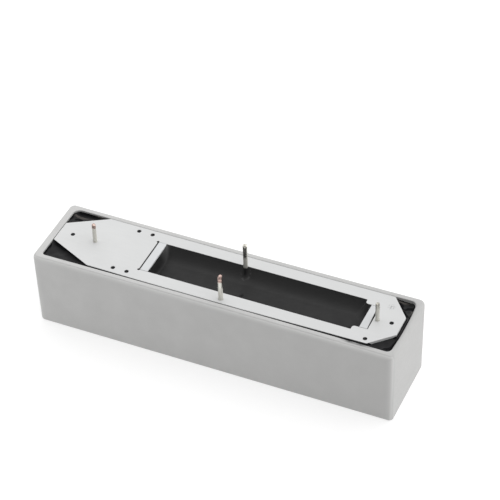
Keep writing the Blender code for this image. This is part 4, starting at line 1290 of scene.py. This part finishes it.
def tinned(name, top, tip_color, tip_reach, stained_to):
    """Tinned wire: bare metal where it was cut, bright along its length, duller near the board."""
    look = Shading(name)
    dull = look.along("Z", 1, 0, *(BOARD_TOP + rise for rise in WIRE_DULL_TO))
    look.links.new(look.ranged(dull, 1.0, 0.4, 0, 1), look.shader.inputs["Metallic"])
    drawn = look.noise(5200, 3, 0.6, look.stretched((1.0, 1.0, 0.06)))
    grey = look.mixed(look.ranged(drawn, 0, 1), WIRE_DARK, WIRE_LIGHT)
    blotch = look.ranged(look.noise(4200, 2), 0, 1, 0.42, 0.58)
    core = look.mixed(blotch, tinted(tip_color, 0.4), tip_color)
    ragged = look.times(look.noise(1900, 3), TIP_RAGGED)
    height = look.joined(look.axis("Z"), ragged)
    share = look.ranged(height, 0, 1, top - tip_reach, top - tip_reach + TIP_BLEND)
    stain_top = BOARD_TOP + stained_to
    stained = look.along("Z", 1, 0, *(stain_top + rise for rise in WIRE_STAIN_BLEND))
    look.color(look.mixed(stained, look.mixed(share, grey, core), WIRE_STAIN))
    bright = look.ranged(drawn, 0.18, 0.32)
    look.rough(look.joined(bright, look.ranged(dull, 0.0, 0.3, 0, 1)))
    look.bump(drawn, 0.000006)
    return look.material


def metal(name, color, roughness, size=3000, stretch=(1, 1, 1)):
    look = Shading(name, Metallic=1.0)
    uneven = look.noise(size, 3, place=look.stretched(stretch))
    dark = tinted(color, 0.82)
    light = tinted(color, 1.12)
    look.color(look.mixed(look.ranged(uneven, 0, 1), dark, light))
    look.rough(look.ranged(uneven, roughness * 0.75, roughness * 1.3))
    look.bump(uneven, 0.000005)
    return look.material


def enamelled_winding(name):
    """Close turns of fine enamelled copper wire, with painted shade between them."""
    look = Shading(name, Metallic=0.85)
    turns = look.nodes.new("ShaderNodeTexWave")
    turns.wave_type = "BANDS"
    turns.bands_direction = "X"
    set_of(turns, Scale=1600, Distortion=0.3, Detail=1.0)
    look.links.new(look.place, turns.inputs["Vector"])
    groove_and_shade = turns.outputs["Fac"]
    # Painted shade in the grooves between turns, painted highlight on their crowns
    look.color(look.mixed(groove_and_shade, (0.20, 0.06, 0.03), (0.62, 0.24, 0.11)))
    look.rough(look.ranged(look.noise(900), 0.26, 0.42))
    look.bump(groove_and_shade, 0.00004)
    return look.material


def drawn_glass(name):
    look = Shading(name, Transmission_Weight=0.9, IOR=1.5)
    cloudy = look.noise(400, 2, place=look.stretched((0.3, 1, 1)))
    look.color(look.mixed(look.ranged(cloudy, 0, 1), (0.66, 0.80, 0.71), (0.76, 0.87, 0.80)))
    look.rough(look.ranged(cloudy, 0.03, 0.09))
    look.bump(cloudy, 0.00001)
    return look.material


def dress_nodes():
    """Materials for the sealed pieces, which keep their CAD shapes."""
    along = (0.06, 1, 1)
    looks = {
        "coil_winding": enamelled_winding("winding_wire"),
        "reed_glass": drawn_glass("drawn_glass"),
        "coil_wire_front": metal("enamelled_wire", (0.62, 0.25, 0.12), 0.3),
        "reed_lead_left": metal("rolled_iron", (0.50, 0.48, 0.45), 0.34, 5000, along),
        "solder_joint_left": metal("frozen_solder", (0.60, 0.60, 0.58), 0.36, 1500),
    }
    looks["coil_wire_rear"] = looks["coil_wire_front"]
    looks["solder_joint_right"] = looks["solder_joint_left"]
    for name in ("reed_lead_right", "reed_blade_left", "reed_blade_right"):
        looks[name] = looks["reed_lead_left"]
    for name, material in looks.items():
        NODES[name].data.materials.clear()
        NODES[name].data.materials.append(material)


# Studio


def make_camera():
    data = bpy.data.cameras.new("camera")
    data.lens = CAMERA_LENS
    data.sensor_width = CAMERA_SENSOR
    data.clip_start = 0.01
    data.clip_end = 10
    camera = placed("camera", data)
    forward = Vector(CAMERA_FORWARD).normalized()
    right = forward.cross(Vector(CAMERA_UP)).normalized()
    up = right.cross(forward)
    turn = Matrix((right, up, -forward)).transposed()
    camera.matrix_world = Matrix.Translation(CAMERA_PLACE) @ turn.to_4x4()
    bpy.context.scene.camera = camera


def make_world():
    world = bpy.data.worlds.new("studio")
    bpy.context.scene.world = world
    world.use_nodes = True
    sky = Graph(world.node_tree, "Generated")
    slope = sky.joined_vectors("DOT_PRODUCT", sky.place, (SKY_RIGHT, SKY_BACK, SKY_TOP))["Value"]
    across = sky.axis("X")
    sides = sky.joined(sky.times(across, across), SKY_SIDES, "MULTIPLY_ADD", SKY_EVEN)
    strength = sky.joined(sky.joined(slope, sides), SKY_LEAST, "MAXIMUM")
    background = sky.nodes["Background"]
    background.inputs["Color"].default_value = (1, 1, 1, 1)
    sky.links.new(strength, background.inputs["Strength"])


def make_floor():
    builder = bmesh.new()
    bmesh.ops.create_circle(builder, cap_ends=True, segments=64, radius=FLOOR_RADIUS)
    floor = placed("floor", mesh_of("floor", builder))
    look = Shading("pale_floor")
    cloudy = look.noise(3, 2)
    look.color(look.mixed(look.ranged(cloudy, 0, 1), *FLOOR_COLORS))
    look.rough(look.ranged(cloudy, 0.7, 0.8))
    set_of(look.shader, Emission_Color=(1, 1, 1, 1), Emission_Strength=FLOOR_GLOW)
    floor.data.materials.append(look.material)


def main():
    bpy.context.scene.view_settings.view_transform = "Standard"
    make_camera()
    make_world()
    make_floor()
    make_case(moulded("case_plastic", CASE_COLOR, edge_light_and_smear=True))
    make_board(laminate("board_laminate", BOARD_COLOR))
    make_bobbin(moulded("bobbin_plastic", BOBBIN_COLOR))
    contact_pin("wire_left", LEFT_PIN_X, LEFT_PIN_TOP, LEFT_CUT, LEFT_LOOK)
    contact_pin("wire_right", RIGHT_PIN_X, RIGHT_PIN_TOP, RIGHT_CUT, RIGHT_LOOK)
    coil_pin("wire_front", FRONT_PIN, -1, FRONT_CUT, FRONT_LOOK)
    coil_pin("wire_rear", REAR_PIN, 1, REAR_CUT, REAR_LOOK)
    make_resin(cast_resin("resin_black"))
    dress_nodes()


main()
